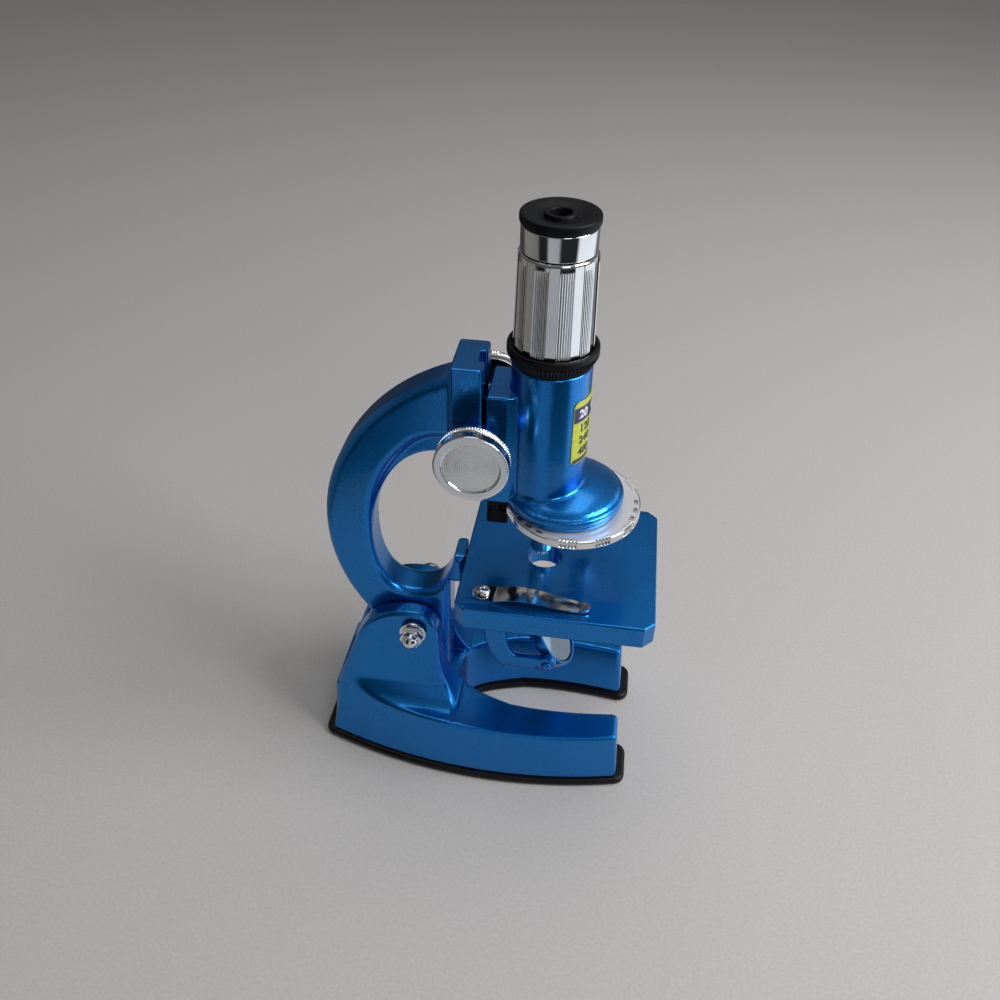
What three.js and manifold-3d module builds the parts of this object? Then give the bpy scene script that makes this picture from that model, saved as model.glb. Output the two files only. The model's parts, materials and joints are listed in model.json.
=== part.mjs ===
// Toy zoom microscope with a tilting arm, rack focusing, three objectives and a mirror.
// Units are millimetres, +Z is up, +X is the side the stage faces (away from the arm).
// The origin is the centre of the footprint on the table.
import * as THREE from 'three';
import { mergeVertices } from 'three/addons/utils/BufferGeometryUtils.js';
import Module from 'manifold-3d';

const wasm = await Module();
wasm.setup();

// ---------- driving dimensions ----------

const FIT = 0.3; // play left between two pieces that touch

const TUBE = { x: 19, outer: 12, bore: 10, top: 158.9 };
const PIVOT = { x: -23.4, z: 54.3 }; // arm tilt axis, parallel to Y
const SHAFT = { x: -1.13, z: 135, radius: 1.2 }; // focus pinion axis, parallel to Y

const PAD = { thick: 3.1, lip: 3, edge: 0.8 };
const FOOT = {
  low: 3.4, high: 24.1, front: 53, rear: -55.2, mouth: 13, gapBack: -8, draft: 1,
};
// The foot's sides are arcs: widest half-width, radius, and where they are widest.
const FOOT_LOW_SIDE = { half: 32.2, radius: 190, x: 9 };
const FOOT_HIGH_SIDE = { half: 31.1, radius: 163, x: 13.5 };
const EAR = { inner: 7.3, baseHalf: 18, topHalf: 13.5, baseZ: 24, topZ: 61.5 };
const EAR_FLARE = { reach: 7, rise: 9 }; // hollow blend between ear and foot
const EAR_FACE = 14.5; // half-width over the ears at pivot height
const PAD_SCREWS = [[40, -21], [40, 21], [-38, 0]]; // in (X, Y)

const ARM = { half: 6.8, x: 11.2, z: 91.9, outer: 65, inner: 49.3 };
const HEAD = { back: -10, front: -0.4, half: 9.4, low: 118, high: 158.4, corner: 0.8 };
const NOTCH_HALF = 3;

const CARRIAGE = { back: 1, half: 9.4, low: 111.5, high: 150 };
const SLOT = { neckHalf: 3, neckEnd: 2.4, half: 4.7, end: 4.4, top: 148 };
const GUIDE = { low: 102.5, high: 145, tailBack: 0.6, tailHigh: 112.5 };
const GUIDE_STOP = { back: 0.5, front: 7.4, half: 3, low: 98, high: 103 }; // end block
const GUIDE_SCREWS = { upper: 141.5, lower: 122 }; // heights
const GEAR = { teeth: 8, pitch: 2, tip: 2.5, yStart: 5.5, yEnd: 8.1 };
const RACK = { low: 113, high: 146, tipX: 0.4, rootX: 1.65, backX: 2.3 };
const RACK_MIDDLE = (GEAR.yStart + GEAR.yEnd) / 2;
const RACK_SCREWS = { upper: 143.7, lower: 115.3 }; // heights

const KNOB = { radius: 11.18, outerY: 25.2, innerY: 19.6, bossY: 15.4 };

const FLANGE = { x: 25.4, radius: 18.8, low: 111, rim: 112.9 };
const PLATE = { radius: 18.1, low: 109.1, high: 110.7 };
const TURRET = { x: 28.13, radius: 21.9, low: 105.8, high: 108.8, pitch: 9.13 };
const TURRET_SCREW = { radius: 2, headLow: 101.8, headHigh: 104.2, headRadius: 3.5 };
const OBJECTIVE = { radius: 3.95, neck: 2.7, bore: 1.8, top: 105.5 };
const OBJECTIVE_TIP = { low: 97.9, mid: 92, high: 86.2 }; // height of each tip

const STAGE = {
  back: -6.2, front: 58.2, half: 30, low: 75, high: 83.2, skin: 3.2, wall: 2.2, chamfer: 3.4,
};
const LIGHT_HOLE = { x: 20.2, radius: 5.6, low: 75.6, wall: 2.2 };
const STAGE_SCREW = { y: 4.2, z: 77.6, back: -9 };
const CLIP = {
  x: 2.4, y: 21.8, length: 35, half: 3.5, bow: 1.8, crest: 0.6, thick: 0.5, turn: 3.6,
};
const MIRROR = { x: 24.2, z: 46.2, radius: 12.4, tilt: 54, front: 2.2, back: -3.4 };
const FORK = { inner: 13.6, outer: 16.2, back: 1, front: 9, top: 79.7 };
const FORK_SCREW = { x: 5, y: 6 };

const LABEL = { halfTurn: 50, low: 128.3, high: 150.3 };

const GRIP = { low: 164.4, high: 192.7, lowRadius: 11.8, highRadius: 11.2, bore: 10 };
const COLLAR = { low: 159.2, high: 165, radius: 13.5, seat: 163.8, seatRadius: 12.3 };
const SLEEVE = { outer: 9.7, inner: 8.9, low: 140, high: 188 };
const OCULAR = { ring: 10.6, outer: 8.6, inner: 7.6, low: 161, ringLow: 193, high: 200.1 };
const EYECUP = { radius: 11.06, low: 200.4, high: 203.1 };

// ---------- materials ----------

function finish(color, roughness, metalness) {
  return new THREE.MeshStandardMaterial({ color, roughness, metalness });
}

const bluePaint = finish(0x1468a8, 0.3, 0.55);
const chrome = finish(0xd8dadc, 0.12, 1);
const steel = finish(0x9a9da0, 0.35, 1);
const brass = finish(0xb58d3e, 0.35, 1);
const blackPlastic = finish(0x17181a, 0.45, 0);
const blackRubber = finish(0x101011, 0.8, 0);
const clearGlass = finish(0xcfe4ea, 0.05, 0);
const silvered = finish(0xc4ccd2, 0.05, 1);
const printedLabel = finish(0xe3d21f, 0.5, 0);

// ---------- shape helpers ----------

const radians = THREE.MathUtils.degToRad;
const SIDES = [-1, 1]; // near side (-Y) and far side (+Y)

// A three.js surface as one watertight solid, turned right side out.
function solid(geometry) {
  const bare = geometry.clone();
  bare.deleteAttribute('normal');
  bare.deleteAttribute('uv');
  const merged = mergeVertices(bare, 1e-4);
  const index = [...merged.index.array];
  const triangles = [];
  for (let i = 0; i < index.length; i += 3) {
    const [a, b, c] = index.slice(i, i + 3);
    if (a !== b && b !== c && c !== a) triangles.push(a, b, c);
  }
  if (signedVolume(merged.attributes.position, triangles) < 0) triangles.reverse();
  return new wasm.Manifold(new wasm.Mesh({
    numProp: 3,
    vertProperties: new Float32Array(merged.attributes.position.array),
    triVerts: new Uint32Array(triangles),
  }));
}

function signedVolume(position, triangles) {
  const [a, b, c] = [new THREE.Vector3(), new THREE.Vector3(), new THREE.Vector3()];
  let sum = 0;
  for (let i = 0; i < triangles.length; i += 3) {
    a.fromBufferAttribute(position, triangles[i]);
    b.fromBufferAttribute(position, triangles[i + 1]);
    c.fromBufferAttribute(position, triangles[i + 2]);
    sum += a.dot(b.cross(c));
  }
  return sum / 6;
}

function join(first, ...others) {
  return others.reduce((sum, next) => sum.add(next), first);
}

function cut(first, ...others) {
  return others.reduce((rest, next) => rest.subtract(next), first);
}

function named(name, body, material) {
  const { vertProperties, triVerts } = body.getMesh();
  const geometry = new THREE.BufferGeometry();
  geometry.setAttribute('position', new THREE.BufferAttribute(vertProperties, 3));
  geometry.setIndex(new THREE.BufferAttribute(triVerts, 1));
  geometry.computeVertexNormals();
  const mesh = new THREE.Mesh(geometry, material);
  mesh.name = name;
  return mesh;
}

function points(pairs) {
  return pairs.map(([x, y]) => new THREE.Vector2(x, y));
}

// Round solid about the vertical line through (x, y); the profile is [radius, z] pairs.
function turned(profile, x = 0, y = 0, segments = 32) {
  const geometry = new THREE.LatheGeometry(points(profile), segments);
  geometry.rotateX(Math.PI / 2);
  return solid(geometry.translate(x, y, 0));
}

// Round solid about the line parallel to Y through (x, z); the profile is [radius, y] pairs.
function turnedAcross(profile, x, z, segments = 32) {
  return solid(new THREE.LatheGeometry(points(profile), segments).translate(x, 0, z));
}

// Round solid about the line parallel to X through (y, z); the profile is [radius, x] pairs.
function turnedAlong(profile, y, z, segments = 20) {
  const geometry = new THREE.LatheGeometry(points(profile), segments);
  geometry.rotateZ(-Math.PI / 2);
  return solid(geometry.translate(0, y, z));
}

function rod(radius, low, high, x, y, segments = 24) {
  return turned([[0, low], [radius, low], [radius, high], [0, high]], x, y, segments);
}

function rodAcross(radius, from, to, x, z, segments = 24) {
  return turnedAcross([[0, from], [radius, from], [radius, to], [0, to]], x, z, segments);
}

function rodAlong(radius, from, to, y, z, segments = 16) {
  return turnedAlong([[0, from], [radius, from], [radius, to], [0, to]], y, z, segments);
}

function block(x0, x1, y0, y1, z0, z1) {
  const geometry = new THREE.BoxGeometry(x1 - x0, y1 - y0, z1 - z0);
  return solid(geometry.translate((x0 + x1) / 2, (y0 + y1) / 2, (z0 + z1) / 2));
}

function extruded(shape, depth, bevel, curveSegments) {
  return new THREE.ExtrudeGeometry(shape, {
    depth: depth - 2 * bevel,
    bevelEnabled: bevel > 0,
    bevelThickness: bevel,
    bevelSize: bevel,
    bevelOffset: -bevel,
    bevelSegments: 1,
    curveSegments,
  }).translate(0, 0, bevel);
}

// A side-view outline in (X, Z), made `depth` wide and centred on y.
function slabAcross(shape, depth, y = 0, bevel = 0, curveSegments = 16) {
  const geometry = extruded(shape, depth, bevel, curveSegments).translate(0, 0, -depth / 2);
  geometry.rotateX(Math.PI / 2);
  return solid(geometry.translate(0, y, 0));
}

// A plan-view outline in (X, Y), standing from z0 to z1.
function slabUp(shape, z0, z1, bevel = 0, curveSegments = 12) {
  return solid(extruded(shape, z1 - z0, bevel, curveSegments).translate(0, 0, z0));
}

// Solid skinned over plan outlines of equal point count, each [outline, z].
function loft(rings) {
  const count = rings[0][0].length;
  const vertices = rings.flatMap(([outline, z]) => outline.flatMap((p) => [p.x, p.y, z]));
  const triangles = [];
  for (let ring = 0; ring < rings.length - 1; ring += 1) {
    for (let i = 0; i < count; i += 1) {
      const a = ring * count + i;
      const b = ring * count + ((i + 1) % count);
      triangles.push(a, b, b + count, a, b + count, a + count);
    }
  }
  const last = (rings.length - 1) * count;
  for (const [a, b, c] of THREE.ShapeUtils.triangulateShape(rings[0][0], [])) {
    triangles.push(a, c, b);
  }
  for (const [a, b, c] of THREE.ShapeUtils.triangulateShape(rings.at(-1)[0], [])) {
    triangles.push(last + a, last + b, last + c);
  }
  const geometry = new THREE.BufferGeometry();
  geometry.setAttribute('position', new THREE.Float32BufferAttribute(vertices, 3));
  geometry.setIndex(triangles);
  return solid(geometry);
}

function roundedRectangle(x0, x1, y0, y1, r) {
  const shape = new THREE.Shape();
  shape.absarc(x1 - r, y0 + r, r, -Math.PI / 2, 0);
  shape.absarc(x1 - r, y1 - r, r, 0, Math.PI / 2);
  shape.absarc(x0 + r, y1 - r, r, Math.PI / 2, Math.PI);
  shape.absarc(x0 + r, y0 + r, r, Math.PI, 1.5 * Math.PI);
  return shape;
}

// Pan-head screw standing on the vertical line through (x, y), head downwards.
function screwUp(x, y, headLow, shankTop, headHigh, headRadius = 1.9, shank = 0.9) {
  return turned([
    [0, headLow], [headRadius * 0.7, headLow], [headRadius, headLow + 0.5],
    [headRadius, headHigh], [shank, headHigh], [shank, shankTop], [0, shankTop],
  ], x, y, 10);
}

// ---------- base ----------

// Horseshoe plan: `grow` widens it all round, `open` widens the gap between the legs.
function horseshoe(side, grow, open = 0, rake = 0) {
  const half = side.half + grow / 2;
  const front = FOOT.front + grow - rake;
  const rear = FOOT.rear - grow + rake / 2;
  const mouth = FOOT.mouth + open - 0.65 * grow;
  const gapBack = FOOT.gapBack - open / 2 + 0.5 * grow;
  const drop = (x) => -Math.sqrt(side.radius ** 2 - (x - side.x) ** 2);
  const arcFrom = Math.atan2(drop(rear), rear - side.x);
  const arcTo = Math.atan2(drop(front), front - side.x);
  const shape = new THREE.Shape();
  shape.absarc(side.x, side.radius - half, side.radius, arcFrom, arcTo);
  shape.lineTo(front, -mouth);
  shape.quadraticCurveTo(front - 22, -mouth - 3, front - 38, -mouth - 1);
  shape.bezierCurveTo(gapBack + 13, -mouth + 2, gapBack, -mouth + 5, gapBack, 0);
  shape.bezierCurveTo(gapBack, mouth - 5, gapBack + 13, mouth - 2, front - 38, mouth + 1);
  shape.quadraticCurveTo(front - 22, mouth + 3, front, mouth);
  shape.lineTo(front, half - side.radius - drop(front));
  shape.absarc(side.x, half - side.radius, side.radius, -arcTo, -arcFrom);
  shape.closePath();
  const outline = shape.getPoints(6);
  return outline.slice(0, -1); // the last point repeats the first
}

function basePad() {
  const body = loft([
    [horseshoe(FOOT_LOW_SIDE, PAD.lip - PAD.edge), 0],
    [horseshoe(FOOT_LOW_SIDE, PAD.lip), PAD.edge],
    [horseshoe(FOOT_LOW_SIDE, PAD.lip), PAD.thick - PAD.edge],
    [horseshoe(FOOT_LOW_SIDE, PAD.lip - PAD.edge), PAD.thick],
  ]);
  const holes = PAD_SCREWS.map(([x, y]) => join(
    rod(2.6, -1, 1.7, x, y, 12),
    rod(1.3, 0, PAD.thick + 1, x, y, 12),
  ));
  return cut(body, ...holes);
}

// Side view of the two ears that hold the arm.
function earOutline() {
  const shape = new THREE.Shape();
  shape.moveTo(-54.6, 12);
  shape.lineTo(-54.2, 20);
  shape.lineTo(-44.3, 48.3);
  shape.quadraticCurveTo(-39.5, EAR.topZ, -25, EAR.topZ);
  shape.quadraticCurveTo(-14.8, EAR.topZ, -14.6, 50);
  shape.lineTo(-14.2, 42);
  shape.quadraticCurveTo(-13.2, 31, -6.5, 23.6);
  shape.lineTo(-6.5, 12);
  return shape;
}

// Draws the side faces in towards the top, the way a casting leaves its mould.
function drafted(geometry) {
  const position = geometry.attributes.position;
  const perMm = (EAR.baseHalf - EAR.topHalf) / (EAR.topZ - EAR.baseZ) / EAR.baseHalf;
  for (let i = 0; i < position.count; i += 1) {
    const rise = position.getZ(i) - EAR.baseZ;
    position.setY(i, position.getY(i) * (1 - perMm * rise));
  }
  return geometry;
}

// Hollow blends along the feet of both ears, as one long solid of that cross-section.
function earFlare() {
  const { reach, rise } = EAR_FLARE;
  const bottom = EAR.baseZ - 1;
  const shape = new THREE.Shape();
  shape.moveTo(0, bottom);
  shape.lineTo(EAR.baseHalf + reach, bottom);
  shape.lineTo(EAR.baseHalf + reach, EAR.baseZ);
  shape.quadraticCurveTo(EAR.baseHalf, EAR.baseZ, EAR.baseHalf - 1, EAR.baseZ + rise);
  shape.lineTo(0, EAR.baseZ + rise);
  const length = -FOOT.rear;
  return SIDES.map((side) => {
    const geometry = extruded(shape, length, 0, 5).rotateX(Math.PI / 2).rotateZ(Math.PI / 2);
    geometry.scale(1, side, 1).translate(-length, 0, 0);
    return solid(geometry);
  });
}

function baseCasting() {
  const plinth = loft([
    [horseshoe(FOOT_LOW_SIDE, 0), FOOT.low],
    [horseshoe(FOOT_HIGH_SIDE, -FOOT.draft, 1.35, 0.6), FOOT.high - 1.2],
    [horseshoe(FOOT_HIGH_SIDE, -FOOT.draft - 1.2, 0.75, 0.6), FOOT.high],
  ]);
  const room = slabAcross(earOutline(), 3 * EAR.baseHalf, 0, 0, 8);
  const walls = loft([
    [horseshoe(FOOT_HIGH_SIDE, -FOOT.draft - 0.6, 1, 0.6), FOOT.low],
    [horseshoe(FOOT_HIGH_SIDE, -FOOT.draft - 0.6, 1, 0.6), EAR.topZ],
  ]);
  const flares = earFlare().map((flare) => flare.intersect(room).intersect(walls));
  const ears = extruded(earOutline(), 2 * EAR.baseHalf, 2, 8);
  ears.translate(0, 0, -EAR.baseHalf).rotateX(Math.PI / 2);
  const armSlot = new THREE.Shape(points([
    [-60, FOOT.high], [0, FOOT.high], [0, EAR.topZ + 1], [-60, EAR.topZ + 1],
  ]));
  const screwHoles = PAD_SCREWS.map(([x, y]) => rod(1.3, 0, 12, x, y, 12));
  return cut(
    join(plinth, solid(drafted(ears)), ...flares),
    slabAcross(armSlot, 2 * EAR.inner),
    rodAcross(3, -30, 30, PIVOT.x, PIVOT.z, 20),
    ...screwHoles,
  );
}

function pivotBolt() {
  const head = EAR_FACE + 1.6;
  return turnedAcross([
    [0, -head - 2.2], [2.7, -head - 2.2], [2.7, head + FIT], [3.9, head + FIT],
    [3.9, head + 1], [3, head + 1.9], [1.6, head + 2.3], [0, head + 2.4],
  ], PIVOT.x, PIVOT.z, 16);
}

// Domed nut: six flats under a round cap, bored blind from the ear side.
function pivotNut() {
  const start = -(EAR_FACE + 1.9);
  const hexagon = rodAcross(4.1, start - 2.6, start, PIVOT.x, PIVOT.z, 6);
  const cap = turnedAcross([
    [0, start - 5.8], [1.5, start - 5.5], [2.6, start - 4.7], [3.2, start - 3.5],
    [3.3, start - 2], [0, start - 2],
  ], PIVOT.x, PIVOT.z, 16);
  const bore = rodAcross(3, start - 2.4, start + 1, PIVOT.x, PIVOT.z, 16);
  return cut(join(hexagon, cap), bore);
}

function washer(side) {
  const near = EAR_FACE + 0.5;
  const ring = [[3, near], [4.7, near], [4.7, near + 1.1], [3, near + 1.1], [3, near]];
  return turnedAcross(ring.map(([r, y]) => [r, side * y]), PIVOT.x, PIVOT.z, 16);
}

// ---------- arm ----------

// Side view of the C-shaped arm with its foot, post and stage horn.
function armOutline() {
  const start = Math.atan2(60, HEAD.back + 2 - ARM.x);
  const footAngle = radians(215.8);
  const shape = new THREE.Shape();
  shape.absarc(ARM.x, ARM.z, ARM.outer, start, footAngle);
  shape.absarc(PIVOT.x, PIVOT.z, 18.4, radians(182), radians(262));
  shape.lineTo(-25.5, FOOT.high + 0.9);
  shape.lineTo(-12.6, FOOT.high + 0.9);
  shape.lineTo(-11.6, 71.5);
  shape.lineTo(STAGE.back - 0.4, 71.5);
  shape.lineTo(STAGE.back - 0.4, STAGE.high - 0.2);
  shape.lineTo(-10.2, STAGE.high - 0.2);
  shape.bezierCurveTo(-12.2, 71.5, -16, 65.3, -25.5, 65.3);
  shape.bezierCurveTo(-34.5, 65.3, -38.2, 76, -38.2, 89);
  shape.absarc(ARM.x, 93, ARM.inner, radians(182), radians(135), true);
  shape.quadraticCurveTo(-19, 132, -13, 132);
  shape.lineTo(HEAD.back + 2, 132);
  return shape;
}

// Thin web that hangs under the top of the arm and runs into the head.
function ribOutline() {
  const shape = new THREE.Shape();
  shape.moveTo(-39, 92);
  shape.splineThru(points([[-37, 99], [-33, 111], [-27, 121], [-20, 124.8], [-12, 124.8]]));
  shape.lineTo(HEAD.back + 2, 124.8);
  shape.lineTo(HEAD.back + 2, 135);
  shape.lineTo(-28, 135);
  shape.lineTo(-41, 104);
  return shape;
}

// Ear on the head that carries one bush of the focus shaft.
function bearingLobe(side) {
  const from = side * 9.7;
  const to = side * 13.6;
  const round = rodAcross(4.2, Math.min(from, to), Math.max(from, to), SHAFT.x, SHAFT.z, 18);
  const inner = side * 8.5;
  const root = block(
    SHAFT.x - 4.2, HEAD.front,
    Math.min(inner, to), Math.max(inner, to),
    SHAFT.z - 4.2, SHAFT.z + 4.2,
  );
  return join(round, root);
}

function armCasting() {
  const head = slabUp(
    roundedRectangle(HEAD.back, HEAD.front, -HEAD.half, HEAD.half, HEAD.corner),
    HEAD.low, HEAD.high, 0, 4,
  );
  const body = join(
    slabAcross(armOutline(), 2 * ARM.half, 0, 0, 14),
    slabAcross(ribOutline(), 7.6, 0, 0, 2),
    head,
    bearingLobe(-1),
    bearingLobe(1),
  );
  const gearPocket = rodAcross(
    GEAR.tip + 0.4, GEAR.yStart - FIT, GEAR.yEnd + FIT, SHAFT.x, SHAFT.z, 14,
  );
  return cut(
    body,
    block(-2.4, 0, -NOTCH_HALF, NOTCH_HALF, HEAD.low - 1, HEAD.high + 1),
    rodAcross(1.5, -20, 20, SHAFT.x, SHAFT.z, 12),
    rodAcross(2.4, 9.7, 20, SHAFT.x, SHAFT.z, 14),
    rodAcross(2.4, -20, -9.7, SHAFT.x, SHAFT.z, 14),
    gearPocket,
    rodAcross(3, -10, 10, PIVOT.x, PIVOT.z, 14),
    ...Object.values(GUIDE_SCREWS).map((z) => rodAlong(1.3, -7.4, 0, 0, z, 8)),
    ...SIDES.map((side) => (
      rodAlong(1.2, STAGE_SCREW.back - 0.4, 0, side * STAGE_SCREW.y, STAGE_SCREW.z, 8)
    )),
  );
}

function shaftBush(side) {
  const profile = [
    [1.5, 10], [2.1, 10], [2.1, 13.9], [3.2, 13.9], [3.2, 14.8], [1.5, 14.8], [1.5, 10],
  ];
  return turnedAcross(profile.map(([r, y]) => [r, side * y]), SHAFT.x, SHAFT.z, 14);
}

// T-shaped rail fixed to the head, with a stop block below; the tube carriage rides on it.
function focusGuide() {
  const neck = NOTCH_HALF - FIT;
  const flange = SLOT.half - FIT;
  const outline = new THREE.Shape(points([
    [-2.1, -neck], [SLOT.neckEnd + FIT, -neck], [SLOT.neckEnd + FIT, -flange],
    [SLOT.end - FIT, -flange], [SLOT.end - FIT, flange], [SLOT.neckEnd + FIT, flange],
    [SLOT.neckEnd + FIT, neck], [-2.1, neck],
  ]));
  const stop = block(
    GUIDE_STOP.back, GUIDE_STOP.front, -GUIDE_STOP.half, GUIDE_STOP.half,
    GUIDE_STOP.low, GUIDE_STOP.high,
  );
  return cut(
    join(slabUp(outline, GUIDE.low, GUIDE.high), stop),
    block(-3, GUIDE.tailBack, -neck - 1, neck + 1, GUIDE_STOP.high, GUIDE.tailHigh),
    block(-3, GUIDE_STOP.back, -neck - 1, neck + 1, GUIDE_STOP.low, GUIDE.tailHigh),
    rodAcross(1.5, -4, 4, SHAFT.x, SHAFT.z, 14),
    ...Object.values(GUIDE_SCREWS).map((z) => join(
      rodAlong(1.3, -3, 8, 0, z, 10),
      rodAlong(2.2, 2.6, 8, 0, z, 10),
    )),
  );
}

function guideScrew(z) {
  return turnedAlong([
    [0, -7], [1, -7], [1, 2.9], [1.9, 2.9], [1.9, 3.8], [0, 3.8],
  ], 0, z, 10);
}

// ---------- stage ----------

function chamferedPlan(inset) {
  const x0 = STAGE.back + inset;
  const x1 = STAGE.front - inset;
  const half = STAGE.half - inset;
  const c = STAGE.chamfer;
  return new THREE.Shape(points([
    [x0 + c, -half], [x1 - c, -half], [x1, -half + c], [x1, half - c],
    [x1 - c, half], [x0 + c, half], [x0, half - c], [x0, -half + c],
  ]));
}

function stage() {
  const tray = loft([
    [chamferedPlan(0).getPoints(), STAGE.low],
    [chamferedPlan(0).getPoints(), STAGE.high - 0.5],
    [chamferedPlan(0.5).getPoints(), STAGE.high],
  ]);
  const hollow = slabUp(chamferedPlan(STAGE.wall), STAGE.low - 1, STAGE.high - STAGE.skin);
  const screwWall = block(STAGE.back + 1, 0.5, -8, 8, STAGE.low, STAGE.high - 1);
  const clipPlaces = SIDES.flatMap((side) => [
    rod(1.5, STAGE.high - 2.6, STAGE.high + 1, CLIP.x, side * CLIP.y, 12),
    block(-3.2, 5.4, side * 27.4 - 1.7, side * 27.4 + 1.7, STAGE.high - 0.4, STAGE.high + 1),
  ]);
  const { x, radius, low, wall } = LIGHT_HOLE;
  const boss = rod(radius + wall, low, STAGE.high - 1, x, 0, 24);
  const lightHole = turned([
    [0, low - 1], [radius, low - 1], [radius, STAGE.high - 0.5],
    [radius + 0.5, STAGE.high + 0.01], [0, STAGE.high + 0.01],
  ], x, 0, 24);
  return cut(
    join(cut(tray, hollow), screwWall, boss),
    lightHole,
    ...clipPlaces,
    ...SIDES.map((side) => join(
      rodAlong(1.2, STAGE.back - 1, 0, side * STAGE_SCREW.y, STAGE_SCREW.z, 8),
      rodAlong(2.1, -1, 1, side * STAGE_SCREW.y, STAGE_SCREW.z, 10),
    )),
    ...SIDES.map((side) => rod(1.2, 79, 82.4, FORK_SCREW.x, side * FORK_SCREW.y, 8)),
  );
}

// Its head is sunk in the stage's inner wall.
function stageScrew(side) {
  return turnedAlong([
    [0, STAGE_SCREW.back], [0.9, STAGE_SCREW.back], [0.9, -0.9], [1.8, -0.9], [1.8, 0.2], [0, 0.2],
  ], side * STAGE_SCREW.y, STAGE_SCREW.z, 10);
}

// Spring strip: round eye at the screw, bowed middle, narrower lifted tip.
function clip(side) {
  const steps = 14;
  const outline = [];
  for (let i = 0; i <= 8; i += 1) {
    const angle = radians(90 + (180 * i) / 8);
    outline.push([CLIP.half * Math.cos(angle), CLIP.half * Math.sin(angle)]);
  }
  const edge = (t) => [t * CLIP.length, CLIP.half - 1.5 * t ** 3];
  for (let i = 1; i <= steps; i += 1) {
    const [x, half] = edge(i / steps);
    outline.push([x, -half]);
  }
  for (let i = steps; i >= 1; i -= 1) outline.push(edge(i / steps));
  const geometry = new THREE.ExtrudeGeometry(new THREE.Shape(points(outline)), {
    depth: CLIP.thick, bevelEnabled: false,
  });
  const eye = new THREE.CylinderGeometry(1.6, 1.6, 4, 16).rotateX(Math.PI / 2);
  const flat = cut(solid(geometry), solid(eye));
  const place = new THREE.Matrix4()
    .makeRotationZ(radians(side * CLIP.turn))
    .setPosition(CLIP.x, side * CLIP.y, STAGE.high + FIT);
  const bent = flat.warp((v) => {
    const t = Math.max(0, (v[0] - 3) / (CLIP.length - 3));
    v[2] += CLIP.bow * Math.sin(Math.PI * t ** CLIP.crest) ** 2;
    if (t > 0.9) v[2] += (t - 0.9) * 9;
  });
  return bent.transform(place.elements);
}

function clipScrew(side) {
  const seat = STAGE.high + FIT + CLIP.thick + FIT;
  return turned([
    [0, STAGE.high - 2.3], [1.2, STAGE.high - 2.3], [1.2, seat], [2.3, seat],
    [2.2, seat + 0.7], [1.3, seat + 1.4], [0, seat + 1.6],
  ], CLIP.x, side * CLIP.y, 12);
}

// ---------- mirror ----------

function forkSideOutline() {
  const eye = 2.8;
  const shape = new THREE.Shape();
  shape.moveTo(FORK.back, FORK.top);
  shape.lineTo(FORK.back + 0.5, 66);
  shape.quadraticCurveTo(FORK.back + 1, 48, 9, MIRROR.z - eye);
  shape.lineTo(MIRROR.x, MIRROR.z - eye);
  shape.absarc(MIRROR.x, MIRROR.z, eye, -Math.PI / 2, Math.PI / 2);
  shape.lineTo(13, MIRROR.z + eye);
  shape.quadraticCurveTo(9.5, 52, FORK.front, 66);
  shape.lineTo(FORK.front, FORK.top);
  return shape;
}

function mirrorFork() {
  const width = FORK.outer - FORK.inner;
  const middle = (FORK.outer + FORK.inner) / 2;
  return cut(
    join(
      slabAcross(forkSideOutline(), width, -middle, 0, 6),
      slabAcross(forkSideOutline(), width, middle, 0, 6),
      block(FORK.back, FORK.front, -FORK.inner - 1, FORK.inner + 1, FORK.top - 2, FORK.top),
    ),
    rodAcross(1.4, -20, 20, MIRROR.x, MIRROR.z, 12),
    ...SIDES.map((side) => rod(1.2, 70, 81, FORK_SCREW.x, side * FORK_SCREW.y, 10)),
  );
}

// Stands a solid turned about +Z on the mirror axis, leaning towards +X.
function tilted(body) {
  const place = new THREE.Matrix4()
    .makeRotationY(radians(MIRROR.tilt))
    .setPosition(MIRROR.x, 0, MIRROR.z);
  return body.transform(place.elements);
}

function mirrorHousing() {
  const { radius, front, back } = MIRROR;
  const cup = turned([
    [0, back], [radius - 2, back], [radius, back + 2], [radius, front - 0.5],
    [radius - 0.5, front], [11.2, front], [11.2, 0.2], [0, 0.2],
  ], 0, 0, 28);
  return cut(
    tilted(cup),
    rodAcross(1.4, -14, -11.4, MIRROR.x, MIRROR.z, 12),
    rodAcross(1.4, 11.4, 14, MIRROR.x, MIRROR.z, 12),
  );
}

function mirrorGlass() {
  return tilted(rod(10.9, 0.5, 1.7, 0, 0, 28));
}

function mirrorPin(side) {
  const profile = [
    [0, 11.7], [1.1, 11.7], [1.1, FORK.outer + FIT], [1.9, FORK.outer + FIT],
    [1.8, FORK.outer + 0.9], [1.1, FORK.outer + 1.5], [0, FORK.outer + 1.6],
  ];
  return turnedAcross(profile.map(([r, y]) => [r, side * y]), MIRROR.x, MIRROR.z, 10);
}

// ---------- focus drive ----------

function toothedPinion() {
  const shape = new THREE.Shape();
  const step = (2 * Math.PI) / GEAR.teeth;
  const root = SHAFT.radius + 0.02;
  for (let i = 0; i < GEAR.teeth; i += 1) {
    const middle = i * step;
    const corners = [[root, -0.26], [GEAR.tip, -0.06], [GEAR.tip, 0.06], [root, 0.26]];
    for (const [r, offset] of corners) {
      const x = r * Math.cos(middle + offset);
      const y = r * Math.sin(middle + offset);
      if (i === 0 && offset === -0.26) shape.moveTo(x, y);
      else shape.lineTo(x, y);
    }
  }
  const width = GEAR.yEnd - GEAR.yStart;
  return slabAcross(shape, width, (GEAR.yStart + GEAR.yEnd) / 2)
    .translate([SHAFT.x, 0, SHAFT.z]);
}

function pinionShaft() {
  return join(rodAcross(SHAFT.radius, -22, 22, SHAFT.x, SHAFT.z, 16), toothedPinion());
}

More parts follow.
